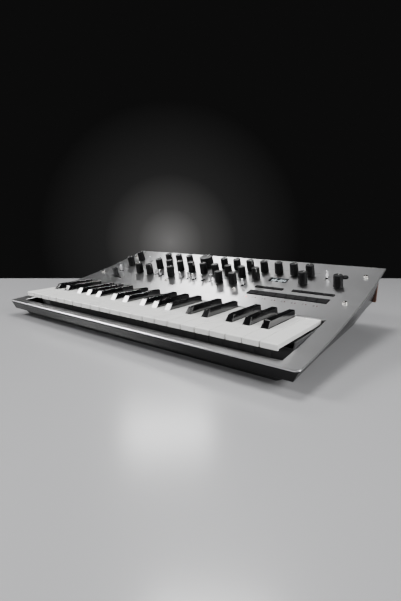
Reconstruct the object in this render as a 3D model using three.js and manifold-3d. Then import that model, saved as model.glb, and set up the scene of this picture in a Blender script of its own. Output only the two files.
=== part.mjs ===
// A compact analogue synthesizer: 37 slim keys below a swept aluminium control panel.
// Millimetres, +Z up. X runs along the keyboard, bass on the left; +Y points to the rear.
// The origin is on the resting surface, at the centre of the panel's outline.

import * as THREE from 'three';
import { mergeVertices } from 'three/addons/utils/BufferGeometryUtils.js';
import Module from 'manifold-3d';

const wasm = await Module();
wasm.setup();

// ---------------------------------------------------------------- driving dimensions
// Distances named "...Y" are measured from the front edge of the panel towards the rear.

const PANEL = {
  width: 500,
  depth: 300,
  thickness: 2,
  frontHeight: 23.7,
  rearHeight: 83.6,
  sweepRadius: 1290,
  cornerRadius: 6,
  rearCornerRadius: 1,
  arcSteps: 14,
};

const CLEARANCE = 0.3;        // between pieces that are fastened face to face
const KEY_SIDE_CLEARANCE = 4.9;
const KEY_FRONT_CLEARANCE = 0.7;
const KEY_REAR_CLEARANCE = 0.9;
const OVERRUN = 1;            // how far a cutter, or a joined piece, runs past a face
const CUTTER_REACH = 9;       // half the height of a cutter that goes through the panel

const KEYS = {
  octaves: 3,
  pitch: 20.2,
  gap: 0.9,
  frontY: 14.5,
  topLength: 111.8,
  belowPanel: 1.36,           // key tops below the panel's face at the rear of their opening
  lip: 4.8,
  edgeBevel: 0.8,
  blackWidth: 9.6,
  blackRise: 8.1,
  blackFrontY: 55.9,
  blackFrontRake: 7,
  blackClearance: 0.9,
  blackOffset: 2.6,
  tailLength: 25,
  tailHeight: 7.4,
  tailTrim: 1.7,
};

const PIVOT = {
  rodRadius: 1.5,
  clearance: 0.3,
  behindTop: 20.8,            // rod axis behind the rear end of the key tops
  belowTop: 8.1,              // rod axis below the key tops
  travel: 3,                  // degrees that a key turns when it is pressed home
};

const CONTACTS = {
  boardDepth: 48,
  stripDepth: 16,
  edgeInset: 4,
  rib: 3,
  boardBelowTop: 6,
  rearGap: 2,
};

const CASE = {
  wall: 2.5,
  rimInset: 1,
  frontInset: 0.6,
  apronRake: 3.4,
  sideRake: 6,
  edgeFrontHeight: 9.8,
  edgeRearHeight: 38.3,
  rearOverhang: 22.5,         // how far the panel stands out behind the case
  rearLean: 4.5,
  bellyFrontY: 14,
  bellyHalfInset: 28,         // panel edge to belly edge, at each side
  bellyRearInset: 42,
  bellyStep: 1,               // rim edge to belly, at each side
  bellyRearStep: 2,
  cavityRaise: 10,            // how far the inner shape stands out of the open top
  steps: 8,
};

const FOOT = { height: 2.5, depth: 12, sideInset: 12, frontY: 20, rearGap: 8 };

const REAR_PANEL = { thickness: 4.5, sideInset: 3 };

const FRAME = {
  base: 2,
  wall: 2,
  frontY: 42,
  rearY: 158,
  grooveWidth: 1.4,
  grooveDepth: 0.8,
  saddle: 2,
  baseInset: 7,
  keyRoom: 1,                 // left below a key that is pressed home
  grooveLow: 11,              // foot of the grooves above the frame's underside
};

const BOARD = { thickness: 1.6, depth: 9, margin: 8, seam: 3, sink: 1.3, gap: 2 };

const ROW_Y = { front: 198, middle: 225.5, rear: 253 };
const COLUMN = { first: -201, pitch: 25.5 };

const KNOB = { radius: 6.5, height: 18.7, gap: 0.8, bevel: 0.7, shaft: 3, shaftHole: 4 };
const BIG_KNOB = { radius: 12, height: 19.2 };
const POT = { size: 11.4, top: 3.5, bore: 3.4, boreDepth: 4.4, shaftReach: 4, sink: 0.9 };

const TOGGLE = {
  lever: 1.3,
  tip: 1.7,
  crown: 1.2,
  height: 11.5,
  pivotDepth: 5,
  ball: 2.2,
  slotWidth: 4.2,
  slotLength: 11,
  house: 10,
  houseLength: 15,
  pocket: 0.5,
  swing: 12,
};

const SLIDER = {
  x: -185.2,
  y: 169.8,
  turn: -13,
  slotLength: 36,
  slotWidth: 3.2,
  cap: [7, 9, 16],
  stem: [6, 2],
  travel: 12,
  house: [48, 11],
  floor: 1,                   // track floor above the board
};

const OCTAVE = { x: -201.5, y: 197.5 };

const STEP_ROW = { left: 93.6, y: 177.2, count: 8, pitch: 14.7, depth: 13.2, gap: 0.7 };
const STRIP_A = { left: 93.6, y: 198.1, count: 3, pitch: 15, depth: 6, gap: 0.7 };
const STRIP_B = { left: 152, y: 198.1, count: 4, pitch: 15, depth: 6, gap: 0.7 };
const BUTTON = { rise: 1.2, travel: 0.8, edge: 0.5, stem: 4, skirt: 1.6 };

const DISPLAY = {
  x: 115.3,
  y: 229.2,
  width: 30,
  depth: 14.6,
  lens: 1.2,
  module: 6,
  flange: 2,
  room: 3,                    // left free around the module in the control board
};
const ROUND_BUTTON = { x: 205.4, y: 258.8, radius: 4.6, rise: 2.2 };

const JACKS = {
  boardDepth: 34,
  boardHalfWidth: 196,
  axisAboveBoard: 7.5,
  faceGap: 0.5,
  panelHoleClearance: 0.9,
};

// ---------------------------------------------------------------- the swept surface

const frontEdge = -PANEL.depth / 2;
const rearEdge = PANEL.depth / 2;

function fromFront(distance) {
  return frontEdge + distance;
}

// Side profile of the panel: an arc that passes through the front and the rear height.
const chord = new THREE.Vector2(PANEL.depth, PANEL.rearHeight - PANEL.frontHeight);
const chordMiddle = new THREE.Vector2(0, (PANEL.rearHeight + PANEL.frontHeight) / 2);
const centreDistance = Math.sqrt(PANEL.sweepRadius ** 2 - (chord.length() / 2) ** 2);
const arcCentre = new THREE.Vector2(-chord.y, chord.x)
  .normalize()
  .multiplyScalar(centreDistance)
  .add(chordMiddle);

function panelTop(y) {
  return arcCentre.y - Math.sqrt(PANEL.sweepRadius ** 2 - (y - arcCentre.x) ** 2);
}

function panelSlope(y) {
  return Math.asin((y - arcCentre.x) / PANEL.sweepRadius);
}

// The frame of a control: origin on the panel's face, Z square to it, X along the keyboard.
function seat(x, distance, turn = 0) {
  const y = fromFront(distance);
  const tilt = new THREE.Matrix4().makeRotationX(panelSlope(y));
  const spin = new THREE.Matrix4().makeRotationZ(THREE.MathUtils.degToRad(turn));
  return new THREE.Matrix4().makeTranslation(x, y, panelTop(y)).multiply(tilt).multiply(spin);
}

// ---------------------------------------------------------------- solids and meshes

function solid(geometry) {
  const bare = geometry.clone();
  for (const name of Object.keys(bare.attributes)) {
    if (name !== 'position') bare.deleteAttribute(name);
  }
  const merged = mergeVertices(bare, 1e-4);
  return new wasm.Manifold(new wasm.Mesh({
    numProp: 3,
    vertProperties: new Float32Array(merged.attributes.position.array),
    triVerts: new Uint32Array(merged.index.array),
  }));
}

function geometryOf(body) {
  const made = body.getMesh();
  const geometry = new THREE.BufferGeometry();
  geometry.setAttribute('position', new THREE.BufferAttribute(made.vertProperties, 3));
  geometry.setIndex(new THREE.BufferAttribute(made.triVerts, 1));
  const flat = geometry.toNonIndexed();
  flat.computeVertexNormals();
  return flat;
}

function join(pieces) {
  return pieces.reduce((whole, piece) => whole.add(piece));
}

function cut(body, cutters) {
  return cutters.reduce((whole, cutter) => whole.subtract(cutter), body);
}

function placed(geometry, matrix) {
  return solid(geometry.clone().applyMatrix4(matrix));
}

// A box between two corners.
function block(low, high) {
  const size = high.map((value, i) => value - low[i]);
  const geometry = new THREE.BoxGeometry(...size);
  geometry.translate(...low.map((value, i) => value + size[i] / 2));
  return geometry;
}

// A round bar along Z from one height to another.
function bar(radius, low, high, sides = 10) {
  const geometry = new THREE.CylinderGeometry(radius, radius, high - low, sides);
  geometry.rotateX(Math.PI / 2);
  geometry.translate(0, 0, (low + high) / 2);
  return geometry;
}

// A turned piece: profile points are [radius, height] from the bottom to the top.
function turned(profile, sides = 12) {
  const geometry = new THREE.LatheGeometry(profile.map((p) => new THREE.Vector2(...p)), sides);
  geometry.rotateX(Math.PI / 2);
  return geometry;
}

// A plate cut from an outline of [x, y] points, between two heights.
function plate(outline, low, high) {
  const shape = new THREE.Shape(outline.map((p) => new THREE.Vector2(...p)));
  const geometry = new THREE.ExtrudeGeometry(shape, { depth: high - low, bevelEnabled: false });
  geometry.translate(0, 0, low);
  return geometry;
}

// A bar along X whose section is an outline of [y, z] points.
function sectionBar(outline, left, right) {
  const shape = new THREE.Shape(outline.map((p) => new THREE.Vector2(...p)));
  const geometry = new THREE.ExtrudeGeometry(shape, { depth: right - left, bevelEnabled: false });
  geometry.applyMatrix4(new THREE.Matrix4().makeBasis(
    new THREE.Vector3(0, 1, 0),
    new THREE.Vector3(0, 0, 1),
    new THREE.Vector3(1, 0, 0),
  ));
  geometry.translate(left, 0, 0);
  return geometry;
}

// A skin through four-cornered rings that follow one another from the front to the rear.
function ruled(rings) {
  const positions = rings.flat(2);
  const index = [];
  const last = rings.length - 1;
  for (let r = 0; r < last; r += 1) {
    for (let i = 0; i < 4; i += 1) {
      const a = 4 * r + i;
      const b = 4 * r + (i + 1) % 4;
      index.push(a, b, b + 4, a, b + 4, a + 4);
    }
  }
  index.push(0, 2, 1, 0, 3, 2);
  const end = 4 * last;
  index.push(end, end + 1, end + 2, end, end + 2, end + 3);
  const geometry = new THREE.BufferGeometry();
  geometry.setAttribute('position', new THREE.Float32BufferAttribute(positions, 3));
  geometry.setIndex(index);
  return geometry;
}

const synthesizer = new THREE.Group();

function addPiece(name, body, look) {
  const geometry = body.isBufferGeometry ? body : geometryOf(body);
  const mesh = new THREE.Mesh(geometry, new THREE.MeshStandardMaterial(look));
  mesh.name = name;
  synthesizer.add(mesh);
  return mesh;
}

const LOOK = {
  aluminium: { color: 0xb4b5b7, roughness: 0.45, metalness: 0.9 },
  caseBlack: { color: 0x1b1b1d, roughness: 0.45, metalness: 0 },
  wood: { color: 0x6d3f26, roughness: 0.5, metalness: 0 },
  whiteKey: { color: 0xeeeeea, roughness: 0.35, metalness: 0 },
  blackKey: { color: 0x0b0b0c, roughness: 0.15, metalness: 0 },
  knob: { color: 0x121213, roughness: 0.55, metalness: 0 },
  chrome: { color: 0xd8d8da, roughness: 0.12, metalness: 1 },
  steel: { color: 0x9a9b9d, roughness: 0.3, metalness: 1 },
  board: { color: 0x1d3b26, roughness: 0.6, metalness: 0 },
  glass: { color: 0x0a0c10, roughness: 0.08, metalness: 0 },
  rubber: { color: 0x101010, roughness: 0.9, metalness: 0 },
};

// ---------------------------------------------------------------- layout of the keyboard

const WHITE_NOTES = ['C', 'D', 'E', 'F', 'G', 'A', 'B'];
// How far each black key stands from the line between its two white keys.
const BLACK_SHIFT = { C: -1, D: 1, F: -1.15, G: 0, A: 1.15 };
const FIRST_OCTAVE = 3;

const whiteCount = KEYS.octaves * WHITE_NOTES.length + 1;
const keyboardHalf = (whiteCount * KEYS.pitch) / 2;
const keyFront = fromFront(KEYS.frontY);
const keyTopEnd = keyFront + KEYS.topLength;
const keyTop = panelTop(keyTopEnd + KEY_REAR_CLEARANCE) - KEYS.belowPanel;
const keyUnderside = keyTop - KEYS.lip;
const keyTailEnd = keyTopEnd + KEYS.tailLength;
const keyShoulder = keyTopEnd - 3 * KEYS.lip;   // where the underside starts down to the tail
const pivotY = keyTopEnd + PIVOT.behindTop;
const pivotZ = keyTop - PIVOT.belowTop;
const tailTop = pivotZ + KEYS.tailHeight / 2;
const tailBottom = pivotZ - KEYS.tailHeight / 2;

const opening = {
  left: -keyboardHalf - KEY_SIDE_CLEARANCE,
  right: keyboardHalf + KEY_SIDE_CLEARANCE,
  front: keyFront - KEY_FRONT_CLEARANCE,
  rear: keyTopEnd + KEY_REAR_CLEARANCE,
};

const whiteKeys = Array.from({ length: whiteCount }, (_, i) => ({
  note: WHITE_NOTES[i % WHITE_NOTES.length],
  octave: FIRST_OCTAVE + Math.floor(i / WHITE_NOTES.length),
  centre: -keyboardHalf + (i + 0.5) * KEYS.pitch,
}));

const blackKeys = whiteKeys.slice(0, -1)
  .filter((key) => key.note in BLACK_SHIFT)
  .map((key) => ({
    note: key.note,
    octave: key.octave,
    centre: key.centre + KEYS.pitch / 2 + BLACK_SHIFT[key.note] * KEYS.blackOffset,
  }));

function blackBeside(edge) {
  return blackKeys.find((key) => Math.abs(key.centre - edge) < KEYS.pitch / 2);
}

// The open hook at the tail of every key, which snaps over the pivot rod from the front.
function hookPoints() {
  const radius = PIVOT.rodRadius + PIVOT.clearance;
  const points = [[keyTailEnd, pivotZ - radius]];
  for (let i = 0; i <= 4; i += 1) {
    const angle = -Math.PI / 2 - (i * Math.PI) / 4;
    points.push([pivotY + radius * Math.cos(angle), pivotZ + radius * Math.sin(angle)]);
  }
  points.push([keyTailEnd, pivotZ + radius]);
  return points;
}

function tailPoints() {
  return [
    [keyTopEnd - KEYS.lip, tailBottom],
    [keyTailEnd, tailBottom],
    ...hookPoints(),
    [keyTailEnd, tailTop],
    [keyTopEnd, tailTop],
  ];
}

// ---------------------------------------------------------------- keys

function whiteKeySection() {
  return [
    [keyFront, keyUnderside],
    [keyShoulder, keyUnderside],
    ...tailPoints(),
    [keyTopEnd, keyTop],
    [keyFront + KEYS.edgeBevel, keyTop],
    [keyFront, keyTop - KEYS.edgeBevel],
  ];
}

function blackKeySection() {
  const top = keyTop + KEYS.blackRise;
  const front = fromFront(KEYS.blackFrontY);
  return [
    [front, keyUnderside],
    [keyShoulder, keyUnderside],
    ...tailPoints(),
    [keyTopEnd, top],
    [front + KEYS.blackFrontRake, top],
    [front, keyTop - KEYS.edgeBevel],
  ];
}

function whiteKey(key) {
  const half = (KEYS.pitch - KEYS.gap) / 2;
  const notchFront = fromFront(KEYS.blackFrontY) - KEYS.blackClearance;
  const room = KEYS.blackWidth / 2 + KEYS.blackClearance;
  const outline = [];
  for (const side of [1, -1]) {
    const black = blackBeside(key.centre + (side * KEYS.pitch) / 2);
    const front = side * half;
    const rear = black ? black.centre - side * room - key.centre : side * half;
    const tail = black ? rear : rear - side * KEYS.tailTrim;
    const run = [[front, keyFront - OVERRUN], [front, notchFront], [rear, notchFront]];
    run.push([rear, keyTopEnd], [tail, keyTopEnd], [tail, keyTailEnd + OVERRUN]);
    const kept = run.filter((p, i) => i === 0 || p[0] !== run[i - 1][0] || p[1] !== run[i - 1][1]);
    outline.push(...(side > 0 ? kept : kept.reverse()));
  }
  const pattern = solid(plate(outline, tailBottom - OVERRUN, keyTop + OVERRUN));
  const body = solid(sectionBar(whiteKeySection(), -half, half)).intersect(pattern);
  const mesh = addPiece('key_' + key.note + key.octave, body, LOOK.whiteKey);
  mesh.position.x = key.centre;
}

function blackKey(key) {
  const half = KEYS.blackWidth / 2;
  const body = sectionBar(blackKeySection(), -half, half);
  const mesh = addPiece('key_' + key.note + 'sharp' + key.octave, body, LOOK.blackKey);
  mesh.position.x = key.centre;
}

// ---------------------------------------------------------------- controls on the panel

function column(k) {
  return COLUMN.first + k * COLUMN.pitch;
}

const cutoff = { x: column(6.5), y: ROW_Y.rear };

// Small knobs, by the row and the column that each stands in.
const fixedKnobs = [
  ...[3, 4, 5, 8, 9, 10, 11, 12, 13, 14].map((k) => [column(k), ROW_Y.rear]),
  ...[3, 4, 5, 6, 7, 8, 9, 10, 11, 14].map((k) => [column(k), ROW_Y.middle]),
  ...[2, 3, 5, 9, 10].map((k) => [column(k), ROW_Y.front]),
].map(([x, y]) => ({ x, y }));

const turningKnobs = [
  { name: 'volume_knob', x: column(0), y: ROW_Y.rear },
  { name: 'tempo_knob', x: column(0), y: ROW_Y.middle },
  { name: 'program_knob', x: column(16), y: ROW_Y.middle },
];

const fixedToggles = [
  { x: column(2), y: ROW_Y.rear },
  { x: column(1), y: ROW_Y.middle },
  { x: column(2), y: ROW_Y.middle },
  { x: -111.5, y: ROW_Y.front },
  { x: -96.5, y: ROW_Y.front },
  { x: -50.5, y: ROW_Y.front },
  { x: -36.5, y: ROW_Y.front },
  { x: -22.5, y: ROW_Y.front },
  { x: -4.5, y: ROW_Y.front },
  { x: 10.5, y: ROW_Y.front },
  { x: 72, y: ROW_Y.front + 1 },
];

const swingingToggles = [
  { name: 'wave_toggle', x: column(1), y: ROW_Y.rear },
  { name: 'mode_toggle', x: column(15), y: ROW_Y.rear },
];

function knobProfile(radius, height, bottom) {
  return [
    [0, bottom],
    [KNOB.shaft, bottom],
    [KNOB.shaft, KNOB.gap],
    [radius, KNOB.gap],
    [radius, height - KNOB.bevel],
    [radius - KNOB.bevel, height],
    [0, height],
  ];
}

function leverProfile() {
  const { lever, tip, crown, height, ball, pivotDepth } = TOGGLE;
  return [
    [0, -pivotDepth - ball],
    [ball * Math.SQRT1_2, -pivotDepth - ball * Math.SQRT1_2],
    [ball, -pivotDepth],
    [lever, -pivotDepth + ball],
    [tip, height - tip],
    [crown, height],
    [0, height],
  ];
}

function seatedPiece(name, geometry, matrix, look) {
  const mesh = addPiece(name, geometry, look);
  mesh.applyMatrix4(matrix);
}

function buttonCaps(strip) {
  return Array.from({ length: strip.count }, (_, i) => ({
    x: strip.left + (i + 0.5) * strip.pitch,
    y: strip.y,
    halfWidth: (strip.pitch - strip.gap) / 2,
    halfDepth: strip.depth / 2,
  }));
}

// A button: cap proud of the panel, and a stem that stands on its board.
function buttonSolid(cap, stemDepth) {
  const { halfWidth: w, halfDepth: d } = cap;
  const top = BUTTON.rise;
  const low = -PANEL.thickness - BUTTON.skirt;
  const e = BUTTON.edge;
  const body = solid(block([-w, -d, low], [w, d, top - e]));
  const crown = solid(block([-w + e, -d + e, top - 2 * e], [w - e, d - e, top]));
  const stem = solid(block([-BUTTON.stem / 2, -d / 2, -stemDepth], [BUTTON.stem / 2, d / 2, low + e]));
  return join([body, crown, stem]);
}

// ---------------------------------------------------------------- top panel

function windowCutter(left, right, y, depth) {
  const window = block([left, -depth / 2, -CUTTER_REACH], [right, depth / 2, CUTTER_REACH]);
  return placed(window, seat(0, y));
}

function slotCutter(x, y, width, length, turn) {
  const slot = block(
    [-width / 2, -length / 2, -CUTTER_REACH],
    [width / 2, length / 2, CUTTER_REACH],
  );
  return placed(slot, seat(x, y, turn));
}

function topPanel() {
  const section = [];
  for (let i = 0; i <= PANEL.arcSteps; i += 1) {
    const y = frontEdge + (PANEL.depth * i) / PANEL.arcSteps;
    section.push([y, panelTop(y) - PANEL.thickness]);
  }
  for (let i = PANEL.arcSteps; i >= 0; i -= 1) {
    const y = frontEdge + (PANEL.depth * i) / PANEL.arcSteps;
    section.push([y, panelTop(y)]);
  }
  const half = PANEL.width / 2;
  const sheet = solid(sectionBar(section, -half, half));

  const r = PANEL.cornerRadius;
  const outline = new THREE.Shape();
  outline.moveTo(-half + r, frontEdge);
  outline.absarc(half - r, frontEdge + r, r, -Math.PI / 2, 0);
  const rearR = PANEL.rearCornerRadius;
  outline.absarc(half - rearR, rearEdge - rearR, rearR, 0, Math.PI / 2);
  outline.absarc(-half + rearR, rearEdge - rearR, rearR, Math.PI / 2, Math.PI);
  outline.absarc(-half + r, frontEdge + r, r, Math.PI, Math.PI * 1.5);
  const blank = new THREE.ExtrudeGeometry(outline, {
    depth: PANEL.rearHeight + OVERRUN,
    bevelEnabled: false,
    curveSegments: 3,
  });

  const keyHole = block(
    [opening.left, opening.front, 0],
    [opening.right, opening.rear, PANEL.rearHeight],
  );
  const holes = [solid(keyHole)];
  for (const knob of [...fixedKnobs, ...turningKnobs, cutoff]) {
    holes.push(placed(bar(KNOB.shaftHole, -CUTTER_REACH, CUTTER_REACH, 8), seat(knob.x, knob.y)));
  }
  for (const toggle of [...fixedToggles, ...swingingToggles]) {
    holes.push(slotCutter(toggle.x, toggle.y, TOGGLE.slotWidth, TOGGLE.slotLength, 0));
  }
  holes.push(slotCutter(OCTAVE.x, OCTAVE.y, TOGGLE.slotWidth, TOGGLE.slotLength, 90));
  holes.push(slotCutter(SLIDER.x, SLIDER.y, SLIDER.slotWidth, SLIDER.slotLength, 90 + SLIDER.turn));
  for (const strip of [STEP_ROW, STRIP_A, STRIP_B]) {
    const right = strip.left + strip.count * strip.pitch;
    holes.push(windowCutter(strip.left, right, strip.y, strip.depth + 2 * CLEARANCE));
  }
  const lensHalf = DISPLAY.width / 2 + CLEARANCE;
  const lensDepth = DISPLAY.depth + 2 * CLEARANCE;
  holes.push(windowCutter(DISPLAY.x - lensHalf, DISPLAY.x + lensHalf, DISPLAY.y, lensDepth));
  const roundHole = bar(ROUND_BUTTON.radius + CLEARANCE, -CUTTER_REACH, CUTTER_REACH);
  holes.push(placed(roundHole, seat(ROUND_BUTTON.x, ROUND_BUTTON.y)));

  addPiece('top_panel', cut(sheet.intersect(solid(blank)), holes), LOOK.aluminium);
}

// ---------------------------------------------------------------- case

const caseFront = frontEdge + CASE.frontInset;
const caseRear = rearEdge - CASE.rearOverhang - REAR_PANEL.thickness - CLEARANCE;
const panelUnderGap = PANEL.thickness + CLEARANCE;

// Height of the lower edge of the case's rim, which climbs in a straight line to the rear.
function edgeHeight(y) {
  const along = (y - caseFront) / (caseRear - caseFront);
  return THREE.MathUtils.lerp(CASE.edgeFrontHeight, CASE.edgeRearHeight, along);
}

// One ring of the rim: top left, top right, bottom right, bottom left.
function rimRing(along, wall) {
  const front = caseFront + wall;
  const rear = wall > 0 ? caseRear + 2 * CASE.wall : caseRear;
  const topY = THREE.MathUtils.lerp(front, rear, along);
  const lowY = THREE.MathUtils.lerp(front + CASE.apronRake, rear - CASE.rearLean, along);
  const topHalf = PANEL.width / 2 - CASE.rimInset - wall;
  const lowHalf = topHalf - CASE.sideRake;
  const raise = wall > 0 ? CASE.cavityRaise : 0;
  const topZ = panelTop(Math.min(topY, rearEdge)) - panelUnderGap + raise;
  const lowZ = edgeHeight(lowY) + wall;
  return [
    [-topHalf, topY, topZ],
    [topHalf, topY, topZ],
    [lowHalf, lowY, lowZ],
    [-lowHalf, lowY, lowZ],
  ];
}

function rim(wall) {
  const rings = [];
  for (let i = 0; i <= CASE.steps; i += 1) {
    rings.push(rimRing(i / CASE.steps, wall));
  }
  return solid(ruled(rings));
}

// The belly below the rim, which carries the feet.
function bellyRing(topY, lowY, wall) {
  const topHalf = PANEL.width / 2 - CASE.rimInset - CASE.sideRake - CASE.bellyStep - wall;
  const lowHalf = PANEL.width / 2 - CASE.bellyHalfInset - wall;
  const topZ = edgeHeight(topY) + (wall > 0 ? 2 * wall : OVERRUN);
  const lowZ = FOOT.height + wall;
  return [
    [-topHalf, topY, topZ],
    [topHalf, topY, topZ],
    [lowHalf, lowY, lowZ],
    [-lowHalf, lowY, lowZ],
  ];
}

function belly(wall) {
  const front = fromFront(CASE.bellyFrontY) + wall;
  const rearTop = caseRear - CASE.rearLean - CASE.bellyRearStep - wall;
  const rearLow = rearEdge - CASE.bellyRearInset - wall;
  return solid(ruled([bellyRing(front, front, wall), bellyRing(rearTop, rearLow, wall)]));
}

function lowerCase() {
  const outer = rim(0).add(belly(0));
  addPiece('lower_case', cut(outer, [rim(CASE.wall), belly(CASE.wall)]), LOOK.caseBlack);
}

function feet() {
  const half = PANEL.width / 2 - CASE.bellyHalfInset - FOOT.sideInset;
  const top = FOOT.height - CLEARANCE;
  const rearY = rearEdge - CASE.bellyRearInset - FOOT.rearGap - FOOT.depth;
  const places = { front_foot: fromFront(FOOT.frontY), rear_foot: rearY };
  for (const [name, y] of Object.entries(places)) {
    const outline = [[-half, y], [half, y], [half, y + FOOT.depth], [-half, y + FOOT.depth]];
    addPiece(name, plate(outline, 0, top), LOOK.rubber);
  }
}

// ---------------------------------------------------------------- rear panel and sockets

// Each socket: place along the panel, size of its block, and its mouth.
const SOCKETS = [
  { name: 'headphones', x: 178, block: [15, 22, 12.8], mouth: { radius: 3.3, depth: 20 } },
  { name: 'output', x: 152, block: [15, 22, 12.8], mouth: { radius: 3.3, depth: 20 } },
  { name: 'audio_in', x: 126, block: [15, 22, 12.8], mouth: { radius: 3.3, depth: 20 } },
  { name: 'sync_out', x: 92, block: [10, 16, 11], mouth: { radius: 1.9, depth: 13 } },
  { name: 'sync_in', x: 72, block: [10, 16, 11], mouth: { radius: 1.9, depth: 13 } },
  { name: 'data_port', x: 24, block: [13, 16, 13], mouth: { width: 9, height: 8, depth: 11 } },
  { name: 'note_in', x: -22, block: [17, 14, 14.8], mouth: { radius: 6.6, depth: 9 } },
  { name: 'note_out', x: -54, block: [17, 14, 14.8], mouth: { radius: 6.6, depth: 9 } },
  { name: 'power_in', x: -172, block: [10, 14, 12], mouth: { radius: 3.3, depth: 10 } },
];

const POWER_SWITCH = { x: -132, travel: 4, knob: [5, 5], reach: 5, block: [18, 10, 11] };

const boardRear = caseRear - CASE.rearLean - JACKS.faceGap;
const jackBoardLow = edgeHeight(boardRear) + CASE.wall + CLEARANCE;
const jackBoardTop = jackBoardLow + BOARD.thickness;
const socketZ = jackBoardTop + JACKS.axisAboveBoard;

function mouthCutter(socket, grow, from, to) {
  const { mouth } = socket;
  if (mouth.radius) {
    const bore = bar(mouth.radius + grow, from, to, 12);
    bore.rotateX(-Math.PI / 2);
    bore.translate(socket.x, 0, socketZ);
    return solid(bore);
  }
  const w = mouth.width / 2 + grow;
  const h = mouth.height / 2 + grow;
  return solid(block([socket.x - w, from, socketZ - h], [socket.x + w, to, socketZ + h]));
}

function socketBlock(item, rear) {
  const [width, depth, height] = item.block;
  return solid(block(
    [item.x - width / 2, rear - depth, jackBoardTop - CLEARANCE],
    [item.x + width / 2, rear, jackBoardTop + height],
  ));
}

function jackBoard() {
  const rear = boardRear;
  const front = rear - JACKS.boardDepth;
  const half = JACKS.boardHalfWidth;
  const base = solid(block([-half, front, jackBoardLow], [half, rear, jackBoardTop]));
  const blocks = [...SOCKETS, POWER_SWITCH].map((item) => socketBlock(item, rear));
  const bores = SOCKETS.map((s) => mouthCutter(s, 0, rear - s.mouth.depth, rear + OVERRUN));
  const { x, travel, knob, reach } = POWER_SWITCH;
  const [width, height] = knob.map((size) => size / 2 + CLEARANCE);
  bores.push(solid(block(
    [x - width, rear - reach - CLEARANCE, socketZ - height],
    [x + width + travel, rear + OVERRUN, socketZ + height],
  )));
  addPiece('jack_board', cut(join([base, ...blocks]), bores), LOOK.board);
}

function rearPanel() {
  const lean = CASE.rearLean;
  const half = PANEL.width / 2 - REAR_PANEL.sideInset;
  const low = edgeHeight(caseRear);
  const rearTop = caseRear + CLEARANCE;
  const high = panelTop(rearTop) - panelUnderGap;
  const t = REAR_PANEL.thickness;
  const section = [
    [rearTop - lean, low],
    [rearTop - lean + t, low],
    [rearTop + t, high],
    [rearTop, high],
  ];
  const body = solid(sectionBar(section, -half, half));
  const grow = JACKS.panelHoleClearance;
  const reach = t + 2 * lean;
  const holes = SOCKETS.map((s) => mouthCutter(s, grow, boardRear, caseRear + reach));
  const { x, travel, knob } = POWER_SWITCH;
  const [width, height] = knob.map((size) => size / 2 + grow);
  holes.push(solid(block(
    [x - width, boardRear, socketZ - height],
    [x + width + travel, caseRear + reach, socketZ + height],
  )));
  addPiece('rear_panel', cut(body, holes), LOOK.wood);
}

function powerSwitch() {
  const { x, knob, reach } = POWER_SWITCH;
  const [width, height] = knob.map((size) => size / 2);
  const rear = caseRear + REAR_PANEL.thickness;
  addPiece('power_switch', block(
    [x - width, boardRear - reach, socketZ - height],
    [x + width, rear, socketZ + height],
  ), LOOK.knob);
}

// ---------------------------------------------------------------- keybed

const frameHalf = keyboardHalf + KEY_SIDE_CLEARANCE - CLEARANCE;
const frameFront = fromFront(FRAME.frontY);
const frameRear = fromFront(FRAME.rearY);
const frameLow = FOOT.height + CASE.wall + CLEARANCE;

// Top of a frame wall that a pressed key just clears.
function underPressedKey(y) {
  const drop = Math.abs(pivotY - y) * Math.tan(THREE.MathUtils.degToRad(PIVOT.travel));
  return keyUnderside - drop - FRAME.keyRoom;
}

// Height from which the belly is wide enough for the frame's full width.
const bellyRear = caseRear - CASE.rearLean - CASE.bellyRearStep - CASE.wall;
const [, widestRing, narrowestRing] = bellyRing(bellyRear, bellyRear, CASE.wall);
const frameShoulder = Math.max(frameLow + FRAME.base, THREE.MathUtils.mapLinear(
  frameHalf + CLEARANCE,
  narrowestRing[0],
  widestRing[0],
  narrowestRing[2],
  widestRing[2],
));

// Cross wall of the frame, narrower at the foot, where the belly closes in.
function crossWall(y, top) {
  const base = frameHalf - FRAME.baseInset - FRAME.wall;
  const outline = [
    [-base, frameLow],
    [base, frameLow],
    [frameHalf, frameShoulder],
    [frameHalf, top],
    [-frameHalf, top],
    [-frameHalf, frameShoulder],
  ];
  const geometry = plate(outline, 0, FRAME.wall);
  geometry.rotateX(Math.PI / 2);
  geometry.translate(0, y + FRAME.wall, 0);
  return solid(geometry);
}

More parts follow.
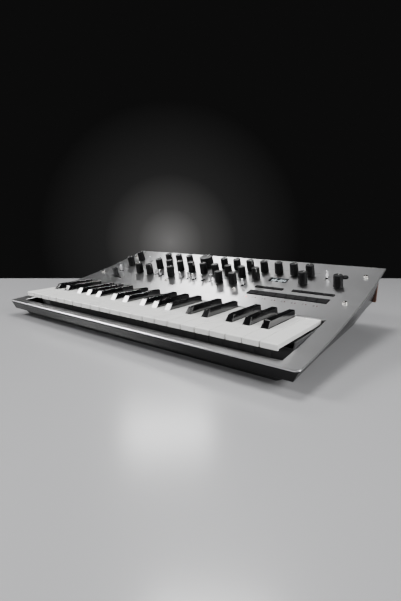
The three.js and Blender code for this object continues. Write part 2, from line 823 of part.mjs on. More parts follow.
function keyFrame() {
  const frontTop = underPressedKey(frameFront);
  const base = frameHalf - FRAME.baseInset - FRAME.wall;
  const pieces = [
    solid(block([-base, frameFront, frameLow], [base, frameRear, frameLow + FRAME.base])),
    crossWall(frameFront, frontTop),
    crossWall(frameRear - FRAME.wall, tailBottom),
  ];
  for (const side of [-1, 1]) {
    const inner = side * (frameHalf - FRAME.wall);
    const outer = side * frameHalf;
    const section = [
      [frameFront, frameShoulder],
      [frameRear, frameShoulder],
      [frameRear, tailTop],
      [frameFront + 2 * FRAME.wall, keyUnderside - CLEARANCE],
      [frameFront, frontTop],
    ];
    pieces.push(solid(sectionBar(section, Math.min(inner, outer), Math.max(inner, outer))));
  }
  // Saddles carry the rod wherever two white keys have no black key between them.
  const saddleTop = pivotZ - PIVOT.rodRadius - PIVOT.clearance;
  const noBlack = whiteKeys.slice(0, -1).filter((key) => !(key.note in BLACK_SHIFT));
  for (const key of noBlack) {
    const x = key.centre + KEYS.pitch / 2;
    const half = FRAME.saddle / 2;
    const low = [x - half, pivotY - FRAME.saddle, frameLow];
    pieces.push(solid(block(low, [x + half, frameRear, saddleTop])));
  }
  const rodHole = new THREE.CylinderGeometry(
    PIVOT.rodRadius + PIVOT.clearance,
    PIVOT.rodRadius + PIVOT.clearance,
    2 * (frameHalf + OVERRUN),
    12,
  );
  rodHole.rotateZ(Math.PI / 2);
  rodHole.translate(0, pivotY, pivotZ);
  const grooves = whiteKeys.slice(1).map((key) => {
    const x = key.centre - KEYS.pitch / 2;
    const half = FRAME.grooveWidth / 2;
    return solid(block(
      [x - half, frameFront - OVERRUN, frameLow + FRAME.grooveLow],
      [x + half, frameFront + FRAME.grooveDepth, frontTop + OVERRUN],
    ));
  });
  addPiece('key_frame', cut(join(pieces), [solid(rodHole), ...grooves]), LOOK.caseBlack);
}

function pivotRod() {
  const length = 2 * frameHalf;
  const rod = new THREE.CylinderGeometry(PIVOT.rodRadius, PIVOT.rodRadius, length, 12);
  rod.rotateZ(Math.PI / 2);
  rod.translate(0, pivotY, pivotZ);
  addPiece('key_pivot_rod', rod, LOOK.steel);
}

function contactBoard() {
  const half = frameHalf - FRAME.baseInset - 2 * FRAME.wall;
  const stripHalf = half - CONTACTS.edgeInset;
  const rear = keyShoulder - CONTACTS.rearGap;
  const front = rear - CONTACTS.boardDepth;
  const middle = (front + rear) / 2;
  const top = underPressedKey(middle) - CLEARANCE;
  const pcbLow = top - CONTACTS.boardBelowTop;
  const rubberHalf = CONTACTS.stripDepth / 2;
  const pcb = block([-half, front, pcbLow], [half, rear, pcbLow + BOARD.thickness]);
  const rib = block(
    [-stripHalf, middle - CONTACTS.rib / 2, frameLow + FRAME.base + CLEARANCE],
    [stripHalf, middle + CONTACTS.rib / 2, top - OVERRUN],
  );
  const rubber = block(
    [-stripHalf, middle - rubberHalf, pcbLow + OVERRUN],
    [stripHalf, middle + rubberHalf, top],
  );
  addPiece('key_contact_board', join([solid(pcb), solid(rib), solid(rubber)]), LOOK.rubber);
}

// ---------------------------------------------------------------- boards behind the panel

// A board parallel to the panel's face at one distance from the front.
function boardSlab(left, right, frontY, rearY, middleY) {
  const top = -BOARD.depth;
  const slab = block(
    [left, frontY - middleY, top - BOARD.thickness],
    [right, rearY - middleY, top],
  );
  return placed(slab, seat(0, middleY));
}

function potSolid(x, y, turning) {
  const s = POT.size / 2;
  const bottom = -BOARD.depth - POT.sink;
  const body = placed(block([-s, -s, bottom], [s, s, -POT.top]), seat(x, y));
  if (!turning) return body;
  const bore = bar(POT.bore, -POT.top - POT.boreDepth, 0, 10);
  return body.subtract(placed(bore, seat(x, y)));
}

function fixedKnob(knob) {
  const stem = turned(knobProfile(KNOB.radius, KNOB.height, -POT.top - OVERRUN), 10);
  return [potSolid(knob.x, knob.y, false), placed(stem, seat(knob.x, knob.y))];
}

function toggleHouse(x, y, turn, open) {
  const w = TOGGLE.house / 2;
  const l = TOGGLE.houseLength / 2;
  const bottom = -BOARD.depth - BOARD.sink;
  const body = placed(block([-w, -l, bottom], [w, l, -POT.top]), seat(x, y, turn));
  if (!open) return body;
  const pw = TOGGLE.ball + TOGGLE.pocket;
  const pl = TOGGLE.slotLength / 2;
  const deep = -TOGGLE.pivotDepth - TOGGLE.ball - TOGGLE.pocket;
  return body.subtract(placed(block([-pw, -pl, deep], [pw, pl, 0]), seat(x, y, turn)));
}

function fixedToggle(toggle) {
  const lever = placed(turned(leverProfile(), 8), seat(toggle.x, toggle.y));
  return [toggleHouse(toggle.x, toggle.y, 0, false), lever];
}

const boardSplit = column(7) + COLUMN.pitch / 2;
const boardHalf = PANEL.width / 2 - CASE.rimInset - CASE.sideRake - CASE.wall - BOARD.margin;
const boardRearY = ROW_Y.rear + BOARD.margin;
const stripFrontY = STEP_ROW.y - STEP_ROW.depth / 2 - BOARD.margin;
const stripRearY = ROW_Y.middle - POT.size / 2 - OVERRUN;

function leftBoard() {
  const frontY = SLIDER.y - SLIDER.house[1] / 2 - BOARD.margin;
  const right = boardSplit - BOARD.seam;
  const slab = boardSlab(-boardHalf, right, frontY, boardRearY, ROW_Y.middle);
  const pieces = [slab];
  for (const knob of fixedKnobs.filter((item) => item.x < boardSplit)) {
    pieces.push(...fixedKnob(knob));
  }
  for (const toggle of fixedToggles.filter((item) => item.x < boardSplit)) {
    pieces.push(...fixedToggle(toggle));
  }
  for (const knob of [...turningKnobs, cutoff].filter((item) => item.x < boardSplit)) {
    pieces.push(potSolid(knob.x, knob.y, true));
  }
  const [wave] = swingingToggles;
  pieces.push(toggleHouse(wave.x, wave.y, 0, true));
  pieces.push(toggleHouse(OCTAVE.x, OCTAVE.y, 90, true));
  const [length, depth] = SLIDER.house;
  const place = seat(SLIDER.x, SLIDER.y, SLIDER.turn);
  const house = block(
    [-length / 2, -depth / 2, -BOARD.depth - BOARD.sink],
    [length / 2, depth / 2, -POT.top],
  );
  const halfRun = SLIDER.travel + SLIDER.stem[0] / 2 + CLEARANCE;
  const halfStem = SLIDER.stem[1] / 2 + CLEARANCE;
  const track = block([-halfRun, -halfStem, -BOARD.depth + SLIDER.floor], [halfRun, halfStem, 0]);
  pieces.push(placed(house, place).subtract(placed(track, place)));
  addPiece('control_board_left', join(pieces), LOOK.board);
}

function rightBoard() {
  const left = boardSplit;
  const frontY = ROW_Y.middle - POT.size / 2;
  const slab = boardSlab(left, boardHalf, frontY, boardRearY, ROW_Y.middle);
  const ear = boardSlab(left, STEP_ROW.left - BOARD.margin, stripFrontY, boardRearY, ROW_Y.middle);
  const lens = DISPLAY.width / 2 + 2 * CLEARANCE;
  const room = placed(block(
    [DISPLAY.x - lens, -DISPLAY.depth / 2 - DISPLAY.room, -2 * CUTTER_REACH],
    [DISPLAY.x + lens, DISPLAY.depth / 2 + DISPLAY.room, -PANEL.thickness],
  ), seat(0, DISPLAY.y));
  const pieces = [slab.add(ear).subtract(room)];
  for (const knob of fixedKnobs.filter((item) => item.x > boardSplit)) {
    pieces.push(...fixedKnob(knob));
  }
  for (const toggle of fixedToggles.filter((item) => item.x > boardSplit)) {
    pieces.push(...fixedToggle(toggle));
  }
  for (const knob of turningKnobs.filter((item) => item.x > boardSplit)) {
    pieces.push(potSolid(knob.x, knob.y, true));
  }
  const mode = swingingToggles[1];
  pieces.push(toggleHouse(mode.x, mode.y, 0, true));
  const roundCap = turned([
    [0, -BOARD.depth - BOARD.sink],
    [BUTTON.stem, -BOARD.depth - BOARD.sink],
    [ROUND_BUTTON.radius, -PANEL.thickness],
    [ROUND_BUTTON.radius, ROUND_BUTTON.rise - BUTTON.edge],
    [ROUND_BUTTON.radius - BUTTON.edge, ROUND_BUTTON.rise],
    [0, ROUND_BUTTON.rise],
  ]);
  pieces.push(placed(roundCap, seat(ROUND_BUTTON.x, ROUND_BUTTON.y)));
  addPiece('control_board_right', join(pieces), LOOK.board);
}

function buttonBoard() {
  const left = STEP_ROW.left - BOARD.margin + BOARD.seam;
  const middle = (stripFrontY + stripRearY) / 2;
  const pieces = [boardSlab(left, boardHalf, stripFrontY, stripRearY - BOARD.gap, middle)];
  for (const strip of [STEP_ROW, STRIP_A, STRIP_B]) {
    const caps = buttonCaps(strip);
    const still = strip === STEP_ROW ? caps.slice(1) : caps;
    for (const cap of still) {
      const body = buttonSolid(cap, BOARD.depth + OVERRUN);
      pieces.push(placed(geometryOf(body), seat(cap.x, cap.y)));
    }
  }
  addPiece('button_board', join(pieces), LOOK.board);
}

function display() {
  const w = DISPLAY.width / 2;
  const d = DISPLAY.depth / 2;
  const lens = solid(block(
    [-w, -d, -PANEL.thickness - OVERRUN],
    [w, d, -PANEL.thickness + DISPLAY.lens],
  ));
  const cell = solid(block(
    [-w, -d - DISPLAY.flange, -PANEL.thickness - DISPLAY.module],
    [w, d + DISPLAY.flange, -PANEL.thickness - CLEARANCE],
  ));
  const body = geometryOf(lens.add(cell));
  seatedPiece('display_window', body, seat(DISPLAY.x, DISPLAY.y), LOOK.glass);
}

// ---------------------------------------------------------------- moving controls

function movingControls() {
  const shaftEnd = -POT.top - POT.shaftReach;
  const small = turned(knobProfile(KNOB.radius, KNOB.height, shaftEnd), 16);
  for (const knob of turningKnobs) {
    seatedPiece(knob.name, small.clone(), seat(knob.x, knob.y), LOOK.knob);
  }
  const big = turned(knobProfile(BIG_KNOB.radius, BIG_KNOB.height, shaftEnd), 20);
  seatedPiece('cutoff_knob', big, seat(cutoff.x, cutoff.y), LOOK.knob);

  const lever = turned(leverProfile(), 10);
  for (const toggle of swingingToggles) {
    seatedPiece(toggle.name, lever.clone(), seat(toggle.x, toggle.y), LOOK.chrome);
  }
  seatedPiece('octave_lever', lever.clone(), seat(OCTAVE.x, OCTAVE.y, 90), LOOK.chrome);

  const [capLength, capWidth, capHeight] = SLIDER.cap;
  const cap = solid(block(
    [-capLength / 2, -capWidth / 2, KNOB.gap],
    [capLength / 2, capWidth / 2, capHeight],
  ));
  const [stemLength, stemWidth] = SLIDER.stem;
  const stem = solid(block(
    [-stemLength / 2, -stemWidth / 2, -BOARD.depth + SLIDER.floor + CLEARANCE],
    [stemLength / 2, stemWidth / 2, KNOB.gap + OVERRUN],
  ));
  const slider = geometryOf(cap.add(stem));
  seatedPiece('pitch_slider', slider, seat(SLIDER.x, SLIDER.y, SLIDER.turn), LOOK.knob);

  const [first] = buttonCaps(STEP_ROW);
  const button = buttonSolid(first, BOARD.depth - BUTTON.travel - CLEARANCE);
  seatedPiece('step_button_1', geometryOf(button), seat(first.x, first.y), LOOK.rubber);
}

// ---------------------------------------------------------------- assembly

topPanel();
lowerCase();
rearPanel();
feet();
keyFrame();
pivotRod();
contactBoard();
whiteKeys.forEach(whiteKey);
blackKeys.forEach(blackKey);
leftBoard();
rightBoard();
buttonBoard();
display();
jackBoard();
powerSwitch();
movingControls();

export default synthesizer;
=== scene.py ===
# %% [markdown]
# # A compact analogue synthesizer
# The frame holds the working model: where each key turns, where each knob stands, and how
# wide each piece is. This lesson builds the pieces that are seen around that frame: the
# swept metal panel, 37 keys, knobs, levers, buttons, sockets and the wooden rear panel.
# Every size is in metres. X runs along the keyboard, Y to the rear and Z up.

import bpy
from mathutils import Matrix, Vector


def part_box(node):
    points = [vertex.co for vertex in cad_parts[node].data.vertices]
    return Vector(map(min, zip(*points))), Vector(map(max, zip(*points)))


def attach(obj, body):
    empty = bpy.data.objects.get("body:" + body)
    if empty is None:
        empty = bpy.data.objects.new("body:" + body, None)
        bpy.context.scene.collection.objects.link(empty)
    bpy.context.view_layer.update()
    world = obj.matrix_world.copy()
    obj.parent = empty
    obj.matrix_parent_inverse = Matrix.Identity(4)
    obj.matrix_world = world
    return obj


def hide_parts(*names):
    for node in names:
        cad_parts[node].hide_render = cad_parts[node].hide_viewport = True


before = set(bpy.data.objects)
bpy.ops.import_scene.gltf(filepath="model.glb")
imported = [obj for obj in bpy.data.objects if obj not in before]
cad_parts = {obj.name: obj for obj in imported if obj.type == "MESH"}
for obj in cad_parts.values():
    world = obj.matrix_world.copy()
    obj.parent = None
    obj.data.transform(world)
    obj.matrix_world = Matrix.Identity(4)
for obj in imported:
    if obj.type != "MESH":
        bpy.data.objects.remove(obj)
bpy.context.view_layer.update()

# %% Tools used throughout
import math
import bmesh
import bpy
from mathutils import Matrix, Vector

MM = 0.001

# %% [markdown]
# ## Camera and stage
# The camera comes first. It stands in front of the treble end, a little above the panel,
# and looks down at a shallow angle.

# %% Camera
CAMERA_PLACE = (0.3754, -0.4577, 0.1568)
CAMERA_TURN = 37.29      # degrees, from straight ahead towards the bass end
CAMERA_DIP = 12.16       # degrees below the horizon
CAMERA_LENS = 23.3       # millimetres

bpy.ops.object.camera_add(
    location=CAMERA_PLACE,
    rotation=(math.radians(90 - CAMERA_DIP), 0, math.radians(CAMERA_TURN)),
)
camera = bpy.context.object
camera.data.lens = CAMERA_LENS
camera.data.sensor_width = 36
camera.data.clip_start = 0.01
bpy.context.scene.camera = camera
print("camera looks from", CAMERA_PLACE)

# %% [markdown]
# ## Shader arithmetic
# A surface is described by sums of patterns. Clicking sums together from Math nodes is
# slow to read, so a small class wraps a socket and turns +, - and * into Math nodes.

# %% A socket that can be used in sums


class Value:
    """One output of a node, for use in Python arithmetic."""

    def __init__(self, finish, socket):
        self.finish = finish
        self.socket = socket

    def _with(self, operation, other, swapped=False):
        pair = [other, self] if swapped else [self, other]
        return self.finish.node("ShaderNodeMath", {"operation": operation}, pair)

    def __add__(self, other):
        return self._with("ADD", other)

    def __sub__(self, other):
        return self._with("SUBTRACT", other)

    def __mul__(self, other):
        return self._with("MULTIPLY", other)

    __radd__ = __add__
    __rmul__ = __mul__

    def __rsub__(self, other):
        return self._with("SUBTRACT", other, swapped=True)


# %% A material under construction


class Finish:
    """A material with one Principled shader, and the patterns that feed it."""

    def __init__(self, name, **settings):
        self.material = bpy.data.materials.new(name)
        self.material.use_nodes = True
        self.tree = self.material.node_tree
        self.shader = self.tree.nodes["Principled BSDF"]
        for key, value in settings.items():
            self.feed(key.replace("_", " ").title().replace("Ior", "IOR"), value)

    def feed(self, name, value):
        socket = self.shader.inputs[name]
        if isinstance(value, Value):
            self.tree.links.new(value.socket, socket)
        elif isinstance(value, tuple) and len(value) == 3:
            socket.default_value = (*value, 1)
        else:
            socket.default_value = value

    def node(self, kind, settings=None, inputs=(), output=0):
        made = self.tree.nodes.new(kind)
        for key, value in (settings or {}).items():
            if key == "stops":
                while len(made.color_ramp.elements) < len(value):
                    made.color_ramp.elements.new(0.5)
                for stop, (position, colour) in zip(made.color_ramp.elements, value):
                    stop.position = position
                    stop.color = (*colour, 1)
            else:
                setattr(made, key, value)
        named = inputs.items() if isinstance(inputs, dict) else enumerate(inputs)
        for key, value in named:
            if isinstance(value, Value):
                self.tree.links.new(value.socket, made.inputs[key])
            else:
                made.inputs[key].default_value = value
        return Value(self, made.outputs[output])

    def place(self, scale=(1, 1, 1), turn=(0, 0, 0)):
        """Object coordinates, stretched and turned."""
        here = self.node("ShaderNodeTexCoord", output=3)
        return self.node("ShaderNodeMapping", {}, {"Vector": here, "Scale": scale, "Rotation": turn})

    def noise(self, scale, detail=2.0, vector=None, roughness=0.5):
        return self.node("ShaderNodeTexNoise", {}, {
            "Vector": vector or self.place(),
            "Scale": scale,
            "Detail": detail,
            "Roughness": roughness,
        })

    def ramp(self, factor, stops):
        return self.node("ShaderNodeValToRGB", {"stops": stops}, [factor])

    def bump(self, height, distance, strength=1.0):
        self.feed("Normal", self.node("ShaderNodeBump", {}, {
            "Height": height,
            "Distance": distance,
            "Strength": strength,
        }))


print("shader tools ready")

# %% [markdown]
# ## Finishes of the metal parts
# The top panel is aluminium blasted with fine grit and then anodised. Up close it is a
# field of tiny pits, far away it is a soft satin. A fine noise drives the bump, and two
# slow noises vary the roughness and the tone, as handling and the blasting pass do.

# %% Blasted aluminium, chrome and steel


def blasted_aluminium():
    finish = Finish("blasted aluminium", metallic=1.0)
    grit = finish.noise(2600, 1.5)
    cloud = finish.noise(9, 3.0)
    fine = finish.noise(700, 2.0)
    tone = finish.ramp(cloud * 0.7 + fine * 0.3, [
        (0.25, (0.50, 0.50, 0.505)),
        (0.75, (0.60, 0.60, 0.61)),
    ])
    finish.feed("Base Color", tone)
    finish.feed("Roughness", cloud * 0.08 + grit * 0.06 + 0.23)
    finish.bump(grit + fine * 0.5, 0.00004, 0.45)
    return finish.material


def chrome():
    finish = Finish("bright chrome", base_color=(0.82, 0.82, 0.83), metallic=1.0)
    finish.feed("Roughness", finish.noise(180, 3.0) * 0.1 + 0.04)
    return finish.material


def dark_steel():
    finish = Finish("dark steel", base_color=(0.42, 0.42, 0.43), metallic=1.0)
    turning = finish.noise(900, 2.0, finish.place((1, 1, 12)))
    finish.feed("Roughness", turning * 0.2 + 0.2)
    finish.bump(turning, 0.00002, 0.3)
    return finish.material


def nickel():
    finish = Finish("nickel", base_color=(0.66, 0.64, 0.6), metallic=1.0)
    finish.feed("Roughness", finish.noise(400, 2.0) * 0.15 + 0.15)
    return finish.material


ALUMINIUM = blasted_aluminium()
CHROME = chrome()
STEEL = dark_steel()
NICKEL = nickel()
print("metals:", ALUMINIUM.name, CHROME.name, STEEL.name, NICKEL.name)

# %% [markdown]
# ## Finishes of the plastic, rubber and wood parts
# Moulded plastic is told by its grain. The case has a spark-eroded texture, the knobs a
# soft satin skin, the white keys a very fine draw, and the black keys a polished coat.

# %% Plastics and rubber


def moulded(name, colour, roughness, grain, depth, coat=0.0, gloss=0.5):
    finish = Finish(name, base_color=colour, coat_weight=coat, coat_roughness=0.08, specular_ior_level=gloss)
    texture = finish.noise(grain, 2.0)
    slow = finish.noise(25, 2.0)
    finish.feed("Roughness", slow * 0.1 + texture * 0.05 + (roughness - 0.07))
    finish.bump(texture, depth, 0.5)
    return finish.material


CASE_PLASTIC = moulded("case plastic", (0.006, 0.006, 0.0065), 0.24, 1900, 0.00001, gloss=0.2)
KEYBED_PLASTIC = moulded("keybed plastic", (0.06, 0.06, 0.062), 0.55, 1500, 0.00004, gloss=0.2)
KNOB_SKIN = moulded("knob skin", (0.005, 0.005, 0.0055), 0.45, 2400, 0.00002, gloss=0.2)
BUTTON_CAP = moulded("button cap", (0.005, 0.005, 0.0055), 0.6, 2200, 0.00002, gloss=0.08)
WHITE_KEY = moulded("white key", (0.84, 0.84, 0.82), 0.28, 1500, 0.000008, coat=0.15)
BLACK_KEY = moulded("black key", (0.004, 0.004, 0.0045), 0.12, 900, 0.000002, coat=0.8, gloss=0.7)
SOCKET_PLASTIC = moulded("socket plastic", (0.008, 0.008, 0.0085), 0.5, 1500, 0.00002, gloss=0.1)
RUBBER = moulded("foot rubber", (0.02, 0.02, 0.02), 0.8, 1200, 0.00008)
POINTER = moulded("pointer", (0.45, 0.45, 0.44), 0.5, 1500, 0.00001)
INK = moulded("panel ink", (0.02, 0.02, 0.022), 0.6, 1500, 0.00001, gloss=0.05)
BOARD_GREEN = moulded("solder mask", (0.02, 0.09, 0.04), 0.3, 500, 0.00003, coat=0.3)
SCREEN_GLASS = moulded("screen glass", (0.003, 0.0035, 0.005), 0.1, 300, 0.000001, coat=0.3, gloss=0.3)
print("plastics ready")

# %% Wood and lamps


def rear_wood():
    """Reddish hardwood with its grain along the panel."""
    finish = Finish("rear wood", coat_weight=0.06, coat_roughness=0.3)
    along = finish.place((1.2, 9, 16))
    rings = finish.noise(14, 6.0, along, 0.6)
    pores = finish.noise(240, 3.0, finish.place((1, 12, 12)))
    colour = finish.ramp(rings * 0.8 + pores * 0.2, [
        (0.30, (0.042, 0.015, 0.009)),
        (0.50, (0.095, 0.036, 0.020)),
        (0.70, (0.155, 0.065, 0.036)),
    ])
    finish.feed("Base Color", colour)
    finish.feed("Roughness", pores * 0.2 + 0.38)
    finish.bump(pores + rings * 0.4, 0.0001, 0.5)
    return finish.material


def lamp(name, colour, strength):
    finish = Finish(name, base_color=colour, roughness=0.25, emission_strength=strength)
    glow = finish.noise(900, 1.0)
    dim = tuple(0.75 * part for part in colour)
    finish.feed("Emission Color", finish.ramp(glow, [(0.3, dim), (0.7, colour)]))
    return finish.material


WOOD = rear_wood()
LAMP_RED = lamp("lamp lit", (1.0, 0.12, 0.08), 3.0)
LAMP_OFF = lamp("lamp unlit", (0.16, 0.03, 0.03), 0.0)
GRAPHIC = lamp("screen graphic", (0.75, 0.85, 0.9), 0.35)
print("wood and lamps ready")

# %% [markdown]
# ## Modelling by hand, in code
# Each piece starts as a primitive and is shaped in edit mode. These helpers do what the
# hand does at the desk: start a primitive, select by place, apply a modifier, and set
# the finished mesh down where it belongs.

# %% Starting, selecting and finishing


def leave_edit():
    bpy.ops.object.mode_set(mode="OBJECT")


def mark_all():
    bpy.ops.mesh.select_all(action="SELECT")


def mark_none():
    bpy.ops.mesh.select_all(action="DESELECT")


def pick_by(kind):
    """Goes over to picking vertices, edges or faces, with none picked yet."""
    bpy.ops.mesh.select_mode(type=kind)
    mark_none()


def deselect():
    if bpy.context.object and bpy.context.object.mode != "OBJECT":
        leave_edit()
    bpy.ops.object.select_all(action="DESELECT")


def cube(low, high, name="block"):
    """A box between two corners, with its place in its mesh."""
    deselect()
    bpy.ops.mesh.primitive_cube_add(size=1)
    piece = bpy.context.object
    piece.name = name
    size = Vector(high) - Vector(low)
    middle = (Vector(high) + Vector(low)) / 2
    piece.data.transform(Matrix.Translation(middle) @ Matrix.Diagonal((*size, 1)))
    return piece


def rod(radius, low, high, sides=32, name="rod"):
    """A round bar along Z."""
    deselect()
    bpy.ops.mesh.primitive_cylinder_add(vertices=sides, radius=radius, depth=high - low)
    piece = bpy.context.object
    piece.name = name
    piece.data.transform(Matrix.Translation((0, 0, (low + high) / 2)))
    return piece


def cross_rod(radius, left, right, y, z, sides):
    """A round bar along X."""
    piece = rod(radius, left, right, sides)
    piece.data.transform(Matrix.Rotation(math.radians(90), 4, "Y"))
    piece.data.transform(Matrix.Translation((0, y, z)))
    return piece


def edit(piece, mode="VERT"):
    deselect()
    bpy.context.view_layer.objects.active = piece
    piece.select_set(True)
    bpy.ops.object.mode_set(mode="EDIT")
    pick_by(mode)


def select(kind, test):
    """Selects the vertices, edges or faces in edit mode that pass a test; returns how many."""
    mesh = bmesh.from_edit_mesh(bpy.context.edit_object.data)
    items = {"verts": mesh.verts, "edges": mesh.edges, "faces": mesh.faces}[kind]
    mesh.normal_update()
    chosen = [item for item in items if test(item)]
    for item in chosen:
        item.select_set(True)
    bmesh.update_edit_mesh(bpy.context.edit_object.data)
    return len(chosen)


def near(a, b, slack=1e-5):
    return abs(a - b) < slack


def edge_middle(item):
    return (item.verts[0].co + item.verts[1].co) / 2


def modify(piece, kind, **settings):
    """Adds a modifier and applies it."""
    deselect()
    bpy.context.view_layer.objects.active = piece
    piece.select_set(True)
    modifier = piece.modifiers.new(kind.lower(), kind)
    for key, value in settings.items():
        setattr(modifier, key, value)
    bpy.ops.object.modifier_apply(modifier=modifier.name)
    return piece


def smooth(piece, angle=40):
    """Smooth shading between the sharp edges, with flat faces kept flat."""
    deselect()
    bpy.context.view_layer.objects.active = piece
    piece.select_set(True)
    bpy.ops.object.shade_smooth_by_angle(angle=math.radians(angle))
    modify(piece, "WEIGHTED_NORMAL", keep_sharp=True, weight=80)
    return piece


def soften(piece, width, segments=2, angle=35):
    """Rounds every sharp edge, then shades the piece smoothly."""
    modify(piece, "BEVEL", width=width, segments=segments, limit_method="ANGLE",
           angle_limit=math.radians(angle))
    return smooth(piece, 50)


def paint(piece, *materials):
    piece.data.materials.clear()
    for material in materials:
        piece.data.materials.append(material)
    return piece


def merged(pieces, name):
    """Joins pieces into one object, and keeps each one's own material."""
    deselect()
    for piece in pieces:
        piece.select_set(True)
    bpy.context.view_layer.objects.active = pieces[0]
    bpy.ops.object.join()
    pieces[0].name = name
    return pieces[0]


def copy_to(model, name, matrix):
    """A copy with its own mesh, set in place inside that mesh."""
    piece = bpy.data.objects.new(name, model.data.copy())
    piece.data.transform(matrix)
    bpy.context.scene.collection.objects.link(piece)
    return piece


def discard(*pieces):
    for piece in pieces:
        bpy.data.objects.remove(piece, do_unlink=True)


def cut_away(piece, cutter):
    """Takes the cutter's shape out of the piece, and removes the cutter."""
    modify(piece, "BOOLEAN", object=cutter, operation="DIFFERENCE", solver="EXACT")
    discard(cutter)
    return piece


def on_body(piece, body, slot, *nodes):
    """The piece moves with the body, and stands for the nodes; the slot argument is not used."""
    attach(piece, body)
    if nodes:
        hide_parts(*nodes)
    return piece


print("modelling tools ready")

# %% [markdown]
# ## The swept face
# From the side the panel is one long arc. Everything on it stands square to that arc, so
# two small functions give the height and the slope of the face, and a third gives the
# place of a control: its own small set of axes with Z pointing straight out of the metal.

# %% The arc of the panel
SHEET = 2 * MM
SWEEP_RADIUS = 1.29
PANEL_LOW, PANEL_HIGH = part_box("top_panel")
FRONT_HEIGHT = PANEL_LOW.z + SHEET
REAR_HEIGHT = PANEL_HIGH.z
CHORD = Vector((PANEL_HIGH.y - PANEL_LOW.y, REAR_HEIGHT - FRONT_HEIGHT))
CHORD_MIDDLE = Vector(((PANEL_HIGH.y + PANEL_LOW.y) / 2, (REAR_HEIGHT + FRONT_HEIGHT) / 2))
RISE = math.sqrt(SWEEP_RADIUS**2 - (CHORD.length / 2) ** 2)
ARC_CENTRE = CHORD_MIDDLE + Vector((-CHORD.y, CHORD.x)).normalized() * RISE


def face_height(y):
    return ARC_CENTRE.y - math.sqrt(SWEEP_RADIUS**2 - (y - ARC_CENTRE.x) ** 2)


def face_slope(y):
    return math.asin((y - ARC_CENTRE.x) / SWEEP_RADIUS)


def seat(x, distance, turn=0.0):
    """Axes of a control: distance is measured from the panel's front edge."""
    y = PANEL_LOW.y + distance
    place = Matrix.Translation((x, y, face_height(y)))
    return place @ Matrix.Rotation(face_slope(y), 4, "X") @ Matrix.Rotation(turn, 4, "Z")


print("panel rises from", round(FRONT_HEIGHT, 4), "to", round(REAR_HEIGHT, 4))

# %% [markdown]
# ## Layout of the controls
# Most knobs stand on a grid of three rows and evenly spaced columns. The pieces that turn
# have joints in the frame. The others keep the same spacing, so one list names them all.

# %% Rows, columns and places
ROW = {"front": 0.198, "middle": 0.2255, "rear": 0.253}
FIRST_COLUMN = -0.201
COLUMN_PITCH = 0.0255


def column(k):
    return FIRST_COLUMN + k * COLUMN_PITCH


FIXED_KNOBS = (
    [(column(k), ROW["rear"]) for k in (3, 4, 5, 8, 9, 10, 11, 12, 13, 14)]
    + [(column(k), ROW["middle"]) for k in (3, 4, 5, 6, 7, 8, 9, 10, 11, 14)]
    + [(column(k), ROW["front"]) for k in (2, 3, 5, 9, 10)]
)
TURNING_KNOBS = {
    "volume_knob": (column(0), ROW["rear"]),
    "tempo_knob": (column(0), ROW["middle"]),
    "program_knob": (column(16), ROW["middle"]),
}
CUTOFF_PLACE = (column(6.5), ROW["rear"])

FIXED_TOGGLES = (
    [(column(2), ROW["rear"]), (column(1), ROW["middle"]), (column(2), ROW["middle"])]
    + [(x * MM, ROW["front"]) for x in (-111.5, -96.5, -50.5, -36.5, -22.5, -4.5, 10.5)]
    + [(0.072, ROW["front"] + MM)]
)
SWINGING_TOGGLES = {
    "wave_toggle": (column(1), ROW["rear"]),
    "mode_toggle": (column(15), ROW["rear"]),
}
OCTAVE_PLACE = (-0.2015, 0.1975)
SLIDER_PLACE = (-0.1852, 0.1698)
SLIDER_TURN = math.radians(-13)
STEP_ROW = {"left": 0.0936, "y": 0.1772, "count": 8, "pitch": 0.0147, "depth": 0.0132}
STRIP_A = {"left": 0.0936, "y": 0.1981, "count": 3, "pitch": 0.015, "depth": 0.006}
STRIP_B = {"left": 0.152, "y": 0.1981, "count": 4, "pitch": 0.015, "depth": 0.006}
BUTTON_GAP = 0.0007
DISPLAY_PLACE = (0.1153, 0.2292)
DISPLAY_SIZE = (0.030, 0.0146)
ROUND_BUTTON = (0.2054, 0.2588)
ROUND_RADIUS = 0.0046
SCREW_PLACES = (
    [(x, 0.1795) for x in (-0.235, -0.070, 0.067, 0.2315)]
    + [(x, 0.2665) for x in (-0.2315, 0.2315)]
)
print(len(FIXED_KNOBS) + len(TURNING_KNOBS) + 1, "knobs,", len(FIXED_TOGGLES) + 3, "levers")

# %% [markdown]
# ## The top panel
# The real panel is a single sheet, cut flat and then bent to its sweep. Here a narrow
# upright strip is spun about the centre of the arc, which draws the bent sheet in one
# go. The openings are then cut, and a fine bevel gives the bright machined edge.

# %% Bend the sheet
PANEL_STEPS = 60
CORNER_RADIUS = 0.006
REAR_CORNER_RADIUS = 0.001
ABOVE_ALL = 0.12         # higher than anything on the panel

panel = cube(
    (PANEL_LOW.x, PANEL_LOW.y - MM, FRONT_HEIGHT - SHEET),
    (PANEL_HIGH.x, PANEL_LOW.y, FRONT_HEIGHT),
    "swept_panel",
)
edit(panel, "FACE")
select("faces", lambda face: face.normal.y < 0.9)
bpy.ops.mesh.delete(type="FACE")
select("faces", lambda face: True)
sweep = (math.asin((PANEL_HIGH.y - ARC_CENTRE.x) / SWEEP_RADIUS)
         - math.asin((PANEL_LOW.y - ARC_CENTRE.x) / SWEEP_RADIUS))
bpy.ops.mesh.spin(
    steps=PANEL_STEPS,
    angle=-sweep,
    center=(0, ARC_CENTRE.x, ARC_CENTRE.y),
    axis=(1, 0, 0),
)
mark_all()
bpy.ops.mesh.remove_doubles(threshold=1e-6)
bpy.ops.mesh.normals_make_consistent(inside=False)
leave_edit()
print("sheet:", len(panel.data.polygons), "faces, sweep", round(math.degrees(sweep), 2), "degrees")

